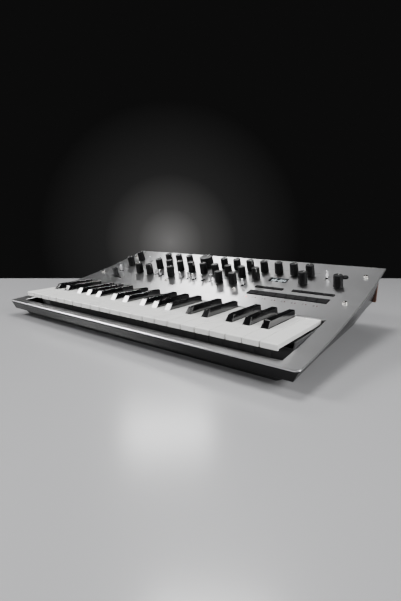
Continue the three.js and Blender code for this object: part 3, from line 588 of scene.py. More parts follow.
# %% Round its corners
outline = cube((PANEL_LOW.x, PANEL_LOW.y, 0), (PANEL_HIGH.x, PANEL_HIGH.y, ABOVE_ALL))


def upright(edge):
    a, b = (vertex.co for vertex in edge.verts)
    return near(a.x, b.x) and near(a.y, b.y)


def round_uprights(piece, radius, segments):
    """Rounds the four standing corners of a box."""
    edit(piece, "EDGE")
    select("edges", upright)
    bpy.ops.mesh.bevel(offset=radius, segments=segments)
    leave_edit()
    return piece


edit(outline, "EDGE")
select("edges", lambda edge: upright(edge) and edge_middle(edge).y < 0)
bpy.ops.mesh.bevel(offset=CORNER_RADIUS, segments=10)
mark_none()
select("edges", lambda edge: upright(edge) and near(edge_middle(edge).y, PANEL_HIGH.y))
bpy.ops.mesh.bevel(offset=REAR_CORNER_RADIUS, segments=4)
leave_edit()
modify(panel, "BOOLEAN", object=outline, operation="INTERSECT", solver="EXACT")
discard(outline)
print("corners rounded:", len(panel.data.vertices), "vertices")

# %% [markdown]
# The key opening is the largest hole. Its edge and the sheet's outer edge are cut by one
# tool, a small 45 degree chamfer, which stays bright because it is cut after blasting.

# %% Key opening
KEY_TOP_LENGTH = 0.1118
KEY_SIDE_ROOM = 0.0049
KEY_FRONT_ROOM = 0.0007
KEY_REAR_ROOM = 0.0009
KEY_GAP = 0.0009         # between neighbouring white keys
CHAMFER = 0.0005

KEYBOARD_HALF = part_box("key_C6")[1].x + KEY_GAP / 2
KEY_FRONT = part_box("key_C3")[0].y
KEY_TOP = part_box("key_C3")[1].z
KEY_REAR = KEY_FRONT + KEY_TOP_LENGTH

opening = cube(
    (-KEYBOARD_HALF - KEY_SIDE_ROOM, KEY_FRONT - KEY_FRONT_ROOM, 0),
    (KEYBOARD_HALF + KEY_SIDE_ROOM, KEY_REAR + KEY_REAR_ROOM, ABOVE_ALL),
)
cut_away(panel, opening)
print("key opening", round(2 * KEYBOARD_HALF, 4), "wide")

# %% [markdown]
# The last cuts are a hole for every shaft, a slot for every lever, and windows for the
# buttons and the display. Each cutter is set square to the face by its seat. They never
# touch one another, so they are joined and taken out by one Boolean.

# %% Holes, slots and windows
REACH = 9 * MM
SHAFT_HOLE = 0.004
LEVER_SLOT = (0.0042, 0.011)
SLIDER_SLOT = (0.036, 0.0032)
FIT = 0.0003


def round_cutter(place, radius):
    tool = rod(radius, -REACH, REACH, 24)
    tool.data.transform(place)
    return tool


def window_cutter(place, width, depth, corner=0.0006):
    tool = cube((-width / 2, -depth / 2, -REACH), (width / 2, depth / 2, REACH))
    round_uprights(tool, corner, 4)
    tool.data.transform(place)
    return tool


def caps_of(strip):
    """Middles of the buttons of a strip, and the width of each."""
    middles = [strip["left"] + (k + 0.5) * strip["pitch"] for k in range(strip["count"])]
    return middles, strip["pitch"] - BUTTON_GAP


all_knobs = FIXED_KNOBS + list(TURNING_KNOBS.values()) + [CUTOFF_PLACE]
cutters = [round_cutter(seat(*place), SHAFT_HOLE) for place in all_knobs]
for place in FIXED_TOGGLES + list(SWINGING_TOGGLES.values()):
    cutters.append(window_cutter(seat(*place), *LEVER_SLOT, corner=0.0015))
cutters.append(window_cutter(seat(*OCTAVE_PLACE), *reversed(LEVER_SLOT), corner=0.0015))
cutters.append(window_cutter(seat(*SLIDER_PLACE, SLIDER_TURN), *SLIDER_SLOT, corner=0.0012))
for strip in (STEP_ROW, STRIP_A, STRIP_B):
    width = strip["count"] * strip["pitch"]
    place = seat(strip["left"] + width / 2, strip["y"])
    cutters.append(window_cutter(place, width, strip["depth"] + 2 * FIT))
display_window = [side + 2 * FIT for side in DISPLAY_SIZE]
cutters.append(window_cutter(seat(*DISPLAY_PLACE), *display_window))
cutters.append(round_cutter(seat(*ROUND_BUTTON), ROUND_RADIUS + FIT))
cut_away(panel, merged(cutters, "cutters"))
print("panel:", len(panel.data.polygons), "faces after", len(all_knobs), "shaft holes")

# %% Bright chamfer
# Only the outer edge and the key opening get it, so edges are chosen by their place. The
# corner cut leaves some vertices crowded along the two sides, and these are merged first.
SIDE_REACH = 0.14        # how far the sides run straight, from the middle
CROWDED = 0.0004
SLIVER = 0.00005
SHARP = math.radians(60)


def on_border(point):
    slack = CHAMFER / 5
    half = KEYBOARD_HALF + KEY_SIDE_ROOM
    across = abs(abs(point.x) - half) < slack
    inside_keys = point.y < KEY_REAR + KEY_REAR_ROOM + slack
    to_front = abs(point.y - KEY_FRONT + KEY_FRONT_ROOM)
    to_rear = abs(point.y - KEY_REAR - KEY_REAR_ROOM)
    along = min(to_front, to_rear) < slack
    on_opening = (across and inside_keys) or (along and abs(point.x) < half)
    past_side = abs(point.x) - PANEL_HIGH.x + CORNER_RADIUS / 3
    past_end = abs(point.y) - PANEL_HIGH.y + CORNER_RADIUS / 3
    return on_opening or max(past_side, past_end) > 0


edit(panel)
select("verts", lambda vertex: near(abs(vertex.co.x), PANEL_HIGH.x)
       and abs(vertex.co.y) < SIDE_REACH)
bpy.ops.mesh.remove_doubles(threshold=CROWDED)
bpy.ops.mesh.select_mode(type="EDGE")
mark_all()
bpy.ops.mesh.dissolve_degenerate(threshold=SLIVER)
mark_none()
corners = select("edges", lambda edge: len(edge.link_faces) == 2
                 and edge.calc_face_angle() > SHARP
                 and not upright(edge)
                 and on_border(edge_middle(edge)))
bpy.ops.mesh.bevel(offset=CHAMFER, segments=1, clamp_overlap=False)
leave_edit()
paint(panel, ALUMINIUM)
on_body(panel, "root", "panel", "top_panel")
print(corners, "edges chamfered, panel has", len(panel.data.polygons), "faces")

# %% [markdown]
# ## Keys
# A slim key is one moulding: a playing surface, a hidden tail, and at its end an open
# hook that snaps over the pivot rod. White keys differ only where they give way to the
# black keys, so one of each note is modelled, and the other octaves are copies.

# %% Sizes shared by all keys
KEY_LIP = 0.0048
BLACK_FRONT = PANEL_LOW.y + 0.0559
BLACK_RAKE = 0.007
BLACK_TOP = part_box("key_Csharp3")[1].z
BLACK_ROOM = 0.0009
TAIL_TRIM = 0.0017
TAIL_HEIGHT = 0.0074
TAIL_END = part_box("key_C3")[1].y
TAIL_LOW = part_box("key_C3")[0].z
PIVOT_Y = KEY_REAR + 0.0208
PIVOT_Z = TAIL_LOW + TAIL_HEIGHT / 2
HOOK_RADIUS = 0.0018
WHITE_NOTES = "CDEFGAB"
OCTAVE_WIDTH = 7 * (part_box("key_D3")[0].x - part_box("key_C3")[0].x)


def tail(left, right):
    """The hidden rear end of a key, open to the rear so that it hooks on the rod."""
    piece = cube((left, KEY_REAR - KEY_LIP, TAIL_LOW), (right, TAIL_END, TAIL_LOW + TAIL_HEIGHT))
    cut_away(piece, cross_rod(HOOK_RADIUS, left - MM, right + MM, PIVOT_Y, PIVOT_Z, 24))
    mouth = cube(
        (left - MM, PIVOT_Y, PIVOT_Z - HOOK_RADIUS),
        (right + MM, TAIL_END + MM, PIVOT_Z + HOOK_RADIUS),
    )
    return cut_away(piece, mouth)


def join_solid(piece, other):
    modify(piece, "BOOLEAN", object=other, operation="UNION", solver="EXACT")
    discard(other)
    return piece


print("pivot at y", round(PIVOT_Y, 4), "z", round(PIVOT_Z, 4), "octave", round(OCTAVE_WIDTH, 4))

# %% [markdown]
# The white key's front edge has the largest radius, because the finger meets it first.
# Its front hangs down in a short lip, and its two front corners are rounded. The rest of
# its edges only lose their sharpness.

# %% White keys
WHITE_NOSE = 0.0013
WHITE_EDGE = 0.0004
LIP_DEPTH = 0.0022
LIP_DROP = 0.0014
CORNER_ROUND = 0.0011


def front_lip(key):
    """Draws the front of a key cap down, then rounds its nose and its two front corners."""
    edit(key, "FACE")
    mark_all()
    bpy.ops.mesh.bisect(plane_co=(0, KEY_FRONT + LIP_DEPTH, 0), plane_no=(0, 1, 0))
    mark_none()
    select("faces", lambda face: face.normal.z < -0.9
           and face.calc_center_median().y < KEY_FRONT + LIP_DEPTH)
    bpy.ops.mesh.extrude_region_move(TRANSFORM_OT_translate={"value": (0, 0, -LIP_DROP)})
    pick_by("EDGE")
    select("edges", lambda edge: near(edge_middle(edge).y, KEY_FRONT)
           and near(edge_middle(edge).z, KEY_TOP))
    bpy.ops.mesh.bevel(offset=WHITE_NOSE, segments=6)
    mark_none()
    select("edges", lambda edge: abs(edge.verts[0].co.z - edge.verts[1].co.z) > 1e-5
           and near(edge.verts[0].co.x, edge.verts[1].co.x)
           and edge_middle(edge).y < KEY_FRONT + WHITE_NOSE)
    bpy.ops.mesh.bevel(offset=CORNER_ROUND, segments=4)
    leave_edit()


def white_key(name, left_black, right_black):
    low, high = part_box(name)
    key = cube((low.x, KEY_FRONT, KEY_TOP - KEY_LIP), (high.x, KEY_REAR, KEY_TOP), name + "_cap")
    tail_left, tail_right = low.x + TAIL_TRIM, high.x - TAIL_TRIM
    for black, side in ((left_black, -1), (right_black, 1)):
        if black is None:
            continue
        black_low, black_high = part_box(black)
        cut_away(key, cube(
            (black_low.x - BLACK_ROOM, BLACK_FRONT - BLACK_ROOM, 0),
            (black_high.x + BLACK_ROOM, TAIL_END, ABOVE_ALL),
        ))
        if side < 0:
            tail_left = black_high.x + BLACK_ROOM
        else:
            tail_right = black_low.x - BLACK_ROOM
    front_lip(key)
    join_solid(key, tail(tail_left, tail_right))
    return paint(soften(key, WHITE_EDGE, 2), WHITE_KEY)


def neighbour(note, step, octave):
    """The black key beside a white one, or nothing, as on the left of every C."""
    index = WHITE_NOTES.index(note) + (0 if step > 0 else -1)
    lower = WHITE_NOTES[index % 7]
    here = octave + (index // 7)
    name = "key_%ssharp%d" % (lower, here)
    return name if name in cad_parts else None


white_count = 0
for note in WHITE_NOTES:
    first = "key_%s3" % note
    model = white_key(first, neighbour(note, -1, 3), neighbour(note, 1, 3))
    for octave in range(3):
        name = "key_%s%d" % (note, 3 + octave)
        shift = Matrix.Translation((octave * OCTAVE_WIDTH, 0, 0))
        key = copy_to(model, name + "_cap_moulding", shift)
        on_body(key, name, "white_key", name)
        white_count += 1
    discard(model)
top_note = white_key("key_C6", None, None)
top_note.name = "key_C6_cap_moulding"
on_body(top_note, "key_C6", "white_key", "key_C6")
print(white_count + 1, "white keys")

# %% [markdown]
# A black key leans back at its front, narrows towards the top and is crowned, so that
# a finger slides off it easily. Only the part above the white keys is shaped. The
# block is first bisected at that height, so that the lower part keeps straight sides.

# %% Black keys
BLACK_TAPER = 0.80
BLACK_CROWN = 0.0012
BLACK_EDGE = 0.0004
BLACK_WAIST = 0.0008     # the straight sides end this far below the white keys' tops

low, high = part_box("key_Csharp3")
middle = (low.x + high.x) / 2
waist = KEY_TOP - BLACK_WAIST
black = cube(
    (low.x, BLACK_FRONT, KEY_TOP - KEY_LIP),
    (high.x, KEY_REAR, BLACK_TOP),
    "black_model",
)
edit(black)
mark_all()
bpy.ops.mesh.bisect(plane_co=(0, 0, waist), plane_no=(0, 0, 1))
mark_none()
select("verts", lambda vertex: near(vertex.co.z, BLACK_TOP))
bpy.ops.transform.resize(value=(BLACK_TAPER, 1, 1), center_override=(middle, 0, BLACK_TOP))
mark_none()
select("verts", lambda vertex: near(vertex.co.z, BLACK_TOP) and near(vertex.co.y, BLACK_FRONT))
bpy.ops.transform.translate(value=(0, BLACK_RAKE, 0))
pick_by("EDGE")
select("edges", lambda edge: all(near(vertex.co.z, BLACK_TOP) for vertex in edge.verts))
bpy.ops.mesh.bevel(offset=BLACK_CROWN, segments=5)
leave_edit()
join_solid(black, tail(low.x, high.x))
soften(black, BLACK_EDGE, 3)
paint(black, BLACK_KEY)
black_names = [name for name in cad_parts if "sharp" in name]
for name in black_names:
    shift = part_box(name)[0].x - low.x
    key = copy_to(black, name + "_cap_moulding", Matrix.Translation((shift, 0, 0)))
    on_body(key, name, "black_key", name)
discard(black)
print(len(black_names), "black keys,", round(BLACK_TOP - KEY_TOP, 4), "above the white ones")

# %% [markdown]
# ## Turned pieces
# Knobs, screws, levers and nuts are round about one axis. Each starts as a circle that is
# extruded upwards ring by ring, and scaled at each ring to follow a profile of radii and
# heights, as a lathe tool follows a template.

# %% Turning


def turned(profile, sides=48, name="turned"):
    """A closed round piece; profile is a list of (radius, height) from the bottom up."""
    deselect()
    radius, height = profile[0]
    bpy.ops.mesh.primitive_circle_add(vertices=sides, radius=radius, location=(0, 0, 0))
    piece = bpy.context.object
    piece.name = name
    piece.data.transform(Matrix.Translation((0, 0, height)))
    edit(piece, "EDGE")
    mark_all()
    bpy.ops.mesh.edge_face_add()
    for next_radius, next_height in profile[1:]:
        bpy.ops.mesh.extrude_region_move(
            TRANSFORM_OT_translate={"value": (0, 0, next_height - height)})
        scale = next_radius / radius
        bpy.ops.transform.resize(value=(scale, scale, 1), center_override=(0, 0, next_height))
        radius, height = next_radius, next_height
    mark_all()
    bpy.ops.mesh.normals_make_consistent(inside=False)
    leave_edit()
    return piece


def ring_model(outer, inner, low, high, sides=40):
    """A turned ring with a round bore: a collar, a bush or a nut."""
    ring = turned([(outer, low), (outer, high - 0.3 * MM), (outer - 0.3 * MM, high)], sides, "ring")
    cut_away(ring, rod(inner, low - 2 * MM, high + 2 * MM, 40))
    return smooth(ring, 30)


def on_panel(piece, x, distance, turn=0.0):
    """Sets a finished model down on the face of the panel."""
    piece.data.transform(seat(x, distance, turn))
    return piece


# %% [markdown]
# ## Knobs
# A knob is a short tapered cylinder with shallow grip flutes below a plain rim, a
# slightly dished top and a pale pointer. The flutes are every second strip of the side,
# inset and pushed inwards. A nickel nut and the shaft show in the gap below the skirt.

# %% Model a knob
KNOB_GAP = 0.0008
SHAFT = 0.003
SHAFT_END = -0.0075
POINTER_HALF = 0.3 * MM
SMALL_KNOB = (0.0065, 0.0187, 28)    # radius, height, flutes
BIG_KNOB = (0.012, 0.0192, 44)


def knob_model(radius, height, flutes):
    body = turned([
        (radius - 0.6 * MM, KNOB_GAP),
        (radius - 0.1 * MM, KNOB_GAP + 0.2 * MM),
        (radius, KNOB_GAP + 0.7 * MM),
        (radius, KNOB_GAP + 1.6 * MM),
        (radius - 0.25 * MM, height - 2.6 * MM),
        (radius - 0.3 * MM, height - 1.0 * MM),
        (radius - 0.5 * MM, height - 0.35 * MM),
        (radius - 0.95 * MM, height),
        (radius - 1.5 * MM, height - 0.05 * MM),
        (radius - 2.0 * MM, height - 0.45 * MM),
        (radius * 0.3, height - 0.6 * MM),
    ], 2 * flutes, "knob_body")
    edit(body, "FACE")

    def flute(face):
        centre = face.calc_center_median()
        strip = math.atan2(centre.y, centre.x) / (2 * math.pi) * 2 * flutes
        on_side = KNOB_GAP + 1.6 * MM < centre.z < height - 2.6 * MM
        return on_side and abs(face.normal.z) < 0.5 and int(math.floor(strip)) % 2 == 0

    select("faces", flute)
    bpy.ops.mesh.inset(thickness=0.12 * MM, depth=-0.25 * MM, use_individual=True)
    leave_edit()
    paint(smooth(body, 35), KNOB_SKIN)

    top = cube(
        (-POINTER_HALF, radius * 0.3, height - 0.7 * MM),
        (POINTER_HALF, radius - 0.8 * MM, height + 0.04 * MM),
    )
    side = cube(
        (-POINTER_HALF, radius - 1.2 * MM, height * 0.7),
        (POINTER_HALF, radius + 0.02 * MM, height - 0.5 * MM),
    )
    for mark in (top, side):
        paint(soften(mark, 0.15 * MM, 2), POINTER)

    shaft = turned([(SHAFT, SHAFT_END), (SHAFT, KNOB_GAP + 0.3 * MM)], 24, "shaft")
    paint(smooth(shaft, 30), NICKEL)
    return body, top, side, shaft


small_knob = merged(knob_model(*SMALL_KNOB), "small_knob")
big_knob = merged(knob_model(*BIG_KNOB), "big_knob")
print("knobs:", len(small_knob.data.polygons), "and", len(big_knob.data.polygons), "faces")

# %% Set the knobs on the panel
# Knobs are never all set alike, so each fixed one is turned by its own step of a spread.
SPREAD = 29
STEP_ANGLE = math.radians(10)
for k, (x, distance) in enumerate(FIXED_KNOBS):
    setting = ((11 * k + 5) % SPREAD - SPREAD // 2) * STEP_ANGLE
    knob = copy_to(small_knob, "panel_knob_%02d" % (k + 1), seat(x, distance, setting))
    on_body(knob, "root", "knob")
for name, (x, distance) in TURNING_KNOBS.items():
    knob = copy_to(small_knob, name + "_moulding", seat(x, distance))
    on_body(knob, name, "knob", name)
knob = copy_to(big_knob, "cutoff_knob_moulding", seat(*CUTOFF_PLACE))
on_body(knob, "cutoff_knob", "knob", "cutoff_knob")
discard(small_knob, big_knob)

nut = paint(ring_model(3.9 * MM, 3.2 * MM, -2.2 * MM, 0.5 * MM, 6), NICKEL)
nuts = [copy_to(nut, "nut", seat(*place)) for place in all_knobs]
on_body(merged(nuts, "shaft_nuts"), "root", "steel")
discard(nut)
print(len(FIXED_KNOBS), "knobs fixed in place,", len(TURNING_KNOBS) + 1, "that turn")

# %% [markdown]
# ## Levers
# Each switch has a chrome bat: a thin neck that swells to a rounded tip, on a ball that
# rocks in its housing. A black insert lines the slot in the metal.

# %% Model a lever and its insert
LEVER_PIVOT = 0.005
LEVER_BALL = 0.0022
LEVER_TOP = 0.0115
BALL_RINGS = 6


def lever_model():
    profile = [(0.4 * MM, -LEVER_PIVOT - LEVER_BALL * 0.98)]
    for ring in range(1, BALL_RINGS):
        angle = math.radians(-90 + 150 * ring / BALL_RINGS)
        profile.append((LEVER_BALL * math.cos(angle), -LEVER_PIVOT + LEVER_BALL * math.sin(angle)))
    profile += [
        (0.0012, -0.0025),
        (0.0013, 0.001),
        (0.0016, LEVER_TOP - 0.0045),
        (0.0019, LEVER_TOP - 0.0018),
        (0.0018, LEVER_TOP - 0.0009),
        (0.0012, LEVER_TOP - 0.0002),
        (0.0004, LEVER_TOP),
    ]
    return paint(smooth(turned(profile, 24, "lever"), 50), CHROME)


def insert_model():
    ring = cube((-2.0 * MM, -5.4 * MM, -2.6 * MM), (2.0 * MM, 5.4 * MM, -0.3 * MM), "insert")
    slot = cube((-1.6 * MM, -4.6 * MM, -4 * MM), (1.6 * MM, 4.6 * MM, 4 * MM))
    cut_away(ring, round_uprights(slot, 1.5 * MM, 5))
    return paint(soften(ring, 0.15 * MM, 2), SOCKET_PLASTIC)


# %% Set the levers and their inserts
LEAN = math.radians(11)
lever, insert = lever_model(), insert_model()
to_pivot = Matrix.Translation((0, 0, -LEVER_PIVOT))
for k, (x, distance) in enumerate(FIXED_TOGGLES):
    lean = LEAN if (k * 5) % 3 else -LEAN
    tilt = to_pivot @ Matrix.Rotation(lean, 4, "X") @ to_pivot.inverted()
    piece = copy_to(lever, "panel_lever_%02d" % (k + 1), seat(x, distance) @ tilt)
    on_body(piece, "root", "chrome")
    piece = copy_to(insert, "lever_insert_%02d" % (k + 1), seat(x, distance))
    on_body(piece, "root", "button")
swinging = dict(SWINGING_TOGGLES, octave_lever=OCTAVE_PLACE)
for name, (x, distance) in swinging.items():
    turn = math.radians(90) if name == "octave_lever" else 0.0
    piece = copy_to(lever, name + "_bat", seat(x, distance, turn))
    on_body(piece, name, "chrome", name)
    piece = copy_to(insert, name + "_insert", seat(x, distance, turn))
    on_body(piece, "root", "button")
discard(lever, insert)
print(len(FIXED_TOGGLES) + len(swinging), "levers")

# %% [markdown]
# ## Slider
# The pitch slider springs back to the middle of a slanted slot. Its cap is a narrow
# block, waisted for finger and thumb, with a scooped top and raised ribs across it.

# %% Model the slider
SLIDER_CAP = (0.007, 0.009, 0.016)
SLIDER_STEM = (0.006, 0.002)
STEM_END = -0.0077


def slider_model():
    length, width, height = SLIDER_CAP
    cap = cube((-length / 2, -width / 2, KNOB_GAP), (length / 2, width / 2, height), "slider_cap")
    edit(cap)
    mark_all()
    for level in (0.3, 0.65):
        bpy.ops.mesh.bisect(plane_co=(0, 0, KNOB_GAP + level * (height - KNOB_GAP)), plane_no=(0, 0, 1))
        mark_all()
    mark_none()
    select("verts", lambda vertex: 2 * MM < vertex.co.z < height - MM)
    bpy.ops.transform.resize(value=(0.8, 0.86, 1), center_override=(0, 0, 0))
    pick_by("FACE")
    select("faces", lambda face: face.normal.z > 0.9)
    bpy.ops.mesh.inset(thickness=0.8 * MM)
    bpy.ops.mesh.inset(thickness=0.8 * MM, depth=-0.9 * MM)
    leave_edit()
    soften(cap, 0.3 * MM, 3, 25)
    ribs = []
    for offset in (-1.2, 0, 1.2):
        rib = cube((-2.0 * MM, (offset - 0.3) * MM, height - 1.2 * MM),
                   (2.0 * MM, (offset + 0.3) * MM, height - 0.4 * MM))
        ribs.append(soften(rib, 0.2 * MM, 2))
    half_length, half_width = SLIDER_STEM[0] / 2, SLIDER_STEM[1] / 2
    stem = cube((-half_length, -half_width, STEM_END), (half_length, half_width, KNOB_GAP + MM))
    return paint(merged([cap, soften(stem, 0.2 * MM)] + ribs, "slider"), KNOB_SKIN)


slider = on_panel(slider_model(), *SLIDER_PLACE, SLIDER_TURN)
slider.name = "pitch_slider_cap"
on_body(slider, "pitch_slider", "knob", "pitch_slider")
lining = cube((-17.7 * MM, -1.5 * MM, -2.4 * MM), (17.7 * MM, 1.5 * MM, -0.3 * MM), "slider_lining")
cut_away(lining, cube((-16.9 * MM, -1.25 * MM, -4 * MM), (16.9 * MM, 1.25 * MM, 4 * MM)))
paint(soften(lining, 0.12 * MM), SOCKET_PLASTIC)
on_body(on_panel(lining, *SLIDER_PLACE, SLIDER_TURN), "root", "button")
print("slider", [round(v * 1000, 1) for v in SLIDER_CAP], "mm")

# %% [markdown]
# ## Buttons
# The buttons are moulded in rows that almost touch, and stand just proud of the metal.
# Each has a shallow finger dish: the top face is inset, and the inner face is lowered.

# %% Model and set the buttons
BUTTON_RISE = 0.0012
BUTTON_SKIRT = -0.0036
STEM_DEPTH = 0.0079


def button_model(width, depth, dish):
    cap = cube((-width / 2, -depth / 2, BUTTON_SKIRT), (width / 2, depth / 2, BUTTON_RISE), "button")
    edit(cap, "FACE")
    select("faces", lambda face: face.normal.z > 0.9)
    bpy.ops.mesh.inset(thickness=0.7 * MM)
    bpy.ops.mesh.inset(thickness=min(width, depth) * 0.18, depth=-dish)
    leave_edit()
    soften(cap, 0.3 * MM, 3, 20)
    stem = turned([(1.6 * MM, -STEM_DEPTH), (1.6 * MM, -3.0 * MM)], 16, "stem")
    return paint(merged([cap, smooth(stem)], "button"), BUTTON_CAP)


button_count = 0
for label, strip in (("step", STEP_ROW), ("page", STRIP_A), ("edit", STRIP_B)):
    middles, width = caps_of(strip)
    model = button_model(width, strip["depth"], 0.3 * MM)
    for k, x in enumerate(middles):
        moving = label == "step" and k == 0
        name = "step_button_1_cap" if moving else "%s_button_%d_cap" % (label, k + 1)
        piece = copy_to(model, name, seat(x, strip["y"]))
        if moving:
            on_body(piece, "step_button_1", "button", "step_button_1")
        else:
            on_body(piece, "root", "button")
        button_count += 1
    discard(model)

round_button = turned([
    (ROUND_RADIUS, -0.008),
    (ROUND_RADIUS, 0.0016),
    (ROUND_RADIUS - 0.15 * MM, 0.0020),
    (ROUND_RADIUS - 0.5 * MM, 0.0022),
    (ROUND_RADIUS - 1.2 * MM, 0.0021),
    (ROUND_RADIUS - 2.4 * MM, 0.0017),
    (0.5 * MM, 0.0016),
], 40, "record_button")
paint(smooth(round_button), BUTTON_CAP)
on_body(on_panel(round_button, *ROUND_BUTTON), "root", "button")
print(button_count + 1, "buttons")

# %% [markdown]
# ## Display
# A small black glass sits a little below the metal. What it shows is made up here: a
# waveform drawn by thin glowing bars, whose heights follow two sines.

# %% Model the display
GLASS_TOP = -0.0008
WAVE_BARS = 26
BAR_HALF = 0.2 * MM

width, depth = DISPLAY_SIZE
glass = cube((-width / 2, -depth / 2, -3 * MM), (width / 2, depth / 2, GLASS_TOP), "display_glass")
soften(glass, 0.25 * MM, 3)
cell = cube(
    (-width / 2, -depth / 2 - 2 * MM, -8 * MM),
    (width / 2, depth / 2 + 2 * MM, -3.1 * MM),
    "display_cell",
)
soften(cell, 0.3 * MM)
glass = merged([paint(glass, SCREEN_GLASS), paint(cell, SOCKET_PLASTIC)], "display_glass")
on_body(on_panel(glass, *DISPLAY_PLACE), "root", "screen", "display_window")

bars = []
for k in range(WAVE_BARS):
    phase = k / (WAVE_BARS - 1)
    x = (phase - 0.5) * 0.76 * width
    swing = math.sin(2.2 * math.pi * phase) + 0.35 * math.sin(9 * math.pi * phase)
    tall = 0.36 * depth * abs(swing) + 0.4 * MM
    bar = cube((x - BAR_HALF, -tall, GLASS_TOP - 0.1 * MM), (x + BAR_HALF, tall, GLASS_TOP + 0.02 * MM))
    bars.append(paint(soften(bar, 0.05 * MM, 1), GRAPHIC))
wave = merged(bars, "display_wave")
on_body(on_panel(wave, *DISPLAY_PLACE), "root", "screen")
print("display", WAVE_BARS, "bars")

# %% [markdown]
# ## Lamps, screws and print
# Eight small lamps stand in front of the step buttons, and the first is lit. Six socket
# head screws hold the sheet to the frame. Print is modelled as very thin ink pads that
# lie on the metal, so that it follows the sweep and survives any export.

# %% Lamps and screws
LAMP_ROW = {"left": 0.100, "y": 0.1605, "pitch": 0.0147}

dome = turned([
    (0.95 * MM, -1.5 * MM),
    (0.95 * MM, 0.15 * MM),
    (0.85 * MM, 0.35 * MM),
    (0.6 * MM, 0.5 * MM),
    (0.2 * MM, 0.56 * MM),
], 20, "lamp")
smooth(dome)
for k in range(STEP_ROW["count"]):
    place = seat(LAMP_ROW["left"] + k * LAMP_ROW["pitch"], LAMP_ROW["y"])
    piece = copy_to(dome, "step_lamp_%d" % (k + 1), place)
    paint(piece, LAMP_RED if k == 0 else LAMP_OFF)
    on_body(piece, "root", "screen")
discard(dome)

screw = turned([
    (1.4 * MM, -3.0 * MM),
    (1.4 * MM, -0.1 * MM),
    (2.7 * MM, 0.0),
    (2.8 * MM, 0.3 * MM),
    (2.8 * MM, 2.1 * MM),
    (2.6 * MM, 2.5 * MM),
    (2.2 * MM, 2.7 * MM),
], 32, "screw")
cut_away(screw, rod(1.25 * MM, 0.9 * MM, 4.0 * MM, 6))
paint(smooth(screw, 45), NICKEL)
for k, (x, distance) in enumerate(SCREW_PLACES):
    on_body(copy_to(screw, "panel_screw_%d" % (k + 1), seat(x, distance, 0.4 * k)), "root", "steel")
print(STEP_ROW["count"], "lamps,", len(SCREW_PLACES), "screws")

# %% Ink pads
INK_TOP = 0.00002
TICK = (0.0003, 0.0011)
TICK_RADIUS = 0.0088
TICK_ANGLES = range(-150, 151, 50)
KNOB_LABEL = (0.0062, 0.0008)
LEVER_LABEL = (0.0042, 0.0007)
OCTAVE_MARK = (0.0012, 0.0022)
SLIDER_MARK = (0.0006, 0.003)
SLIDER_SLANT = 0.23      # how much the marks beside the slanted slot step back


def ink_pad(width, depth):
    pad = cube((-width / 2, -depth / 2, -0.2 * MM), (width / 2, depth / 2, INK_TOP), "ink")
    return paint(round_uprights(pad, min(width, depth) * 0.3, 2), INK)


tick, knob_label, lever_label = ink_pad(*TICK), ink_pad(*KNOB_LABEL), ink_pad(*LEVER_LABEL)
pads = []
for x, distance in FIXED_KNOBS + list(TURNING_KNOBS.values()):
    for angle in TICK_ANGLES:
        ring = Matrix.Rotation(math.radians(angle), 4, "Z") @ Matrix.Translation((0, TICK_RADIUS, 0))
        pads.append(copy_to(tick, "tick", seat(x, distance) @ ring))
    pads.append(copy_to(knob_label, "label", seat(x, distance - 0.0112)))
for x, distance in FIXED_TOGGLES + list(SWINGING_TOGGLES.values()):
    pads.append(copy_to(lever_label, "label", seat(x, distance - 0.0085)))
discard(tick, knob_label, lever_label)

octave_x, octave_y = OCTAVE_PLACE
for shift in (-0.008, -0.004, 0, 0.004, 0.008):
    pads.append(on_panel(ink_pad(*OCTAVE_MARK), octave_x + shift, octave_y + 0.0072))
slider_x, slider_y = SLIDER_PLACE
for shift in (-0.016, 0, 0.016):
    back = slider_y + 0.0085 - SLIDER_SLANT * shift
    pads.append(on_panel(ink_pad(*SLIDER_MARK), slider_x + shift, back))
SECTION_LINES = ((-0.131, -0.062), (-0.018, 0.020), (0.028, 0.096), (0.106, 0.168))
for left, right in SECTION_LINES:
    line = ink_pad(right - left, 0.0004)
    pads.append(on_panel(line, (left + right) / 2, ROW["rear"] + 0.0125))
marks = merged(pads, "panel_marks")
on_body(marks, "root", "panel")
print("ink pads:", len(marks.data.polygons), "faces")

# %% Step numbers
# Numbers are typed as text, made into a mesh, and only then laid on the metal.
NUMBER_SIZE = 0.0056
NUMBER_SHIFT = (-0.0042, -0.002)     # from each lamp
numbers = []
for k in range(STEP_ROW["count"]):
    deselect()
    bpy.ops.object.text_add()
    number = bpy.context.object
    number.data.body = str(k + 1)
    number.data.size = NUMBER_SIZE
    number.data.align_x = "CENTER"
    number.data.extrude = INK_TOP
    bpy.ops.object.convert(target="MESH")
    x = LAMP_ROW["left"] + NUMBER_SHIFT[0] + k * LAMP_ROW["pitch"]
    on_panel(bpy.context.object, x, LAMP_ROW["y"] + NUMBER_SHIFT[1])
    numbers.append(paint(bpy.context.object, INK))
on_body(merged(numbers, "step_numbers"), "root", "panel")
print("step numbers 1 to", STEP_ROW["count"])

# %% [markdown]
# ## Lower case and feet
# The case is one thin moulding whose exact shape matters, because boards and frame sit in
# it. So its working solid is copied, its loose triangles are merged, flat areas become
# single faces again, and every edge gets the small radius of a moulded part.

# %% Refine the case
CASE_EDGE = 0.0007


def refined(node, width, segments):
    """A copy of a working solid with merged faces and rounded edges."""
    piece = copy_to(bpy.data.objects[node], node + "_moulding", Matrix())
    edit(piece)
    mark_all()
    bpy.ops.mesh.remove_doubles(threshold=2e-6)
    bpy.ops.mesh.dissolve_limited(angle_limit=math.radians(0.4))
    leave_edit()
    return soften(piece, width, segments, 25)


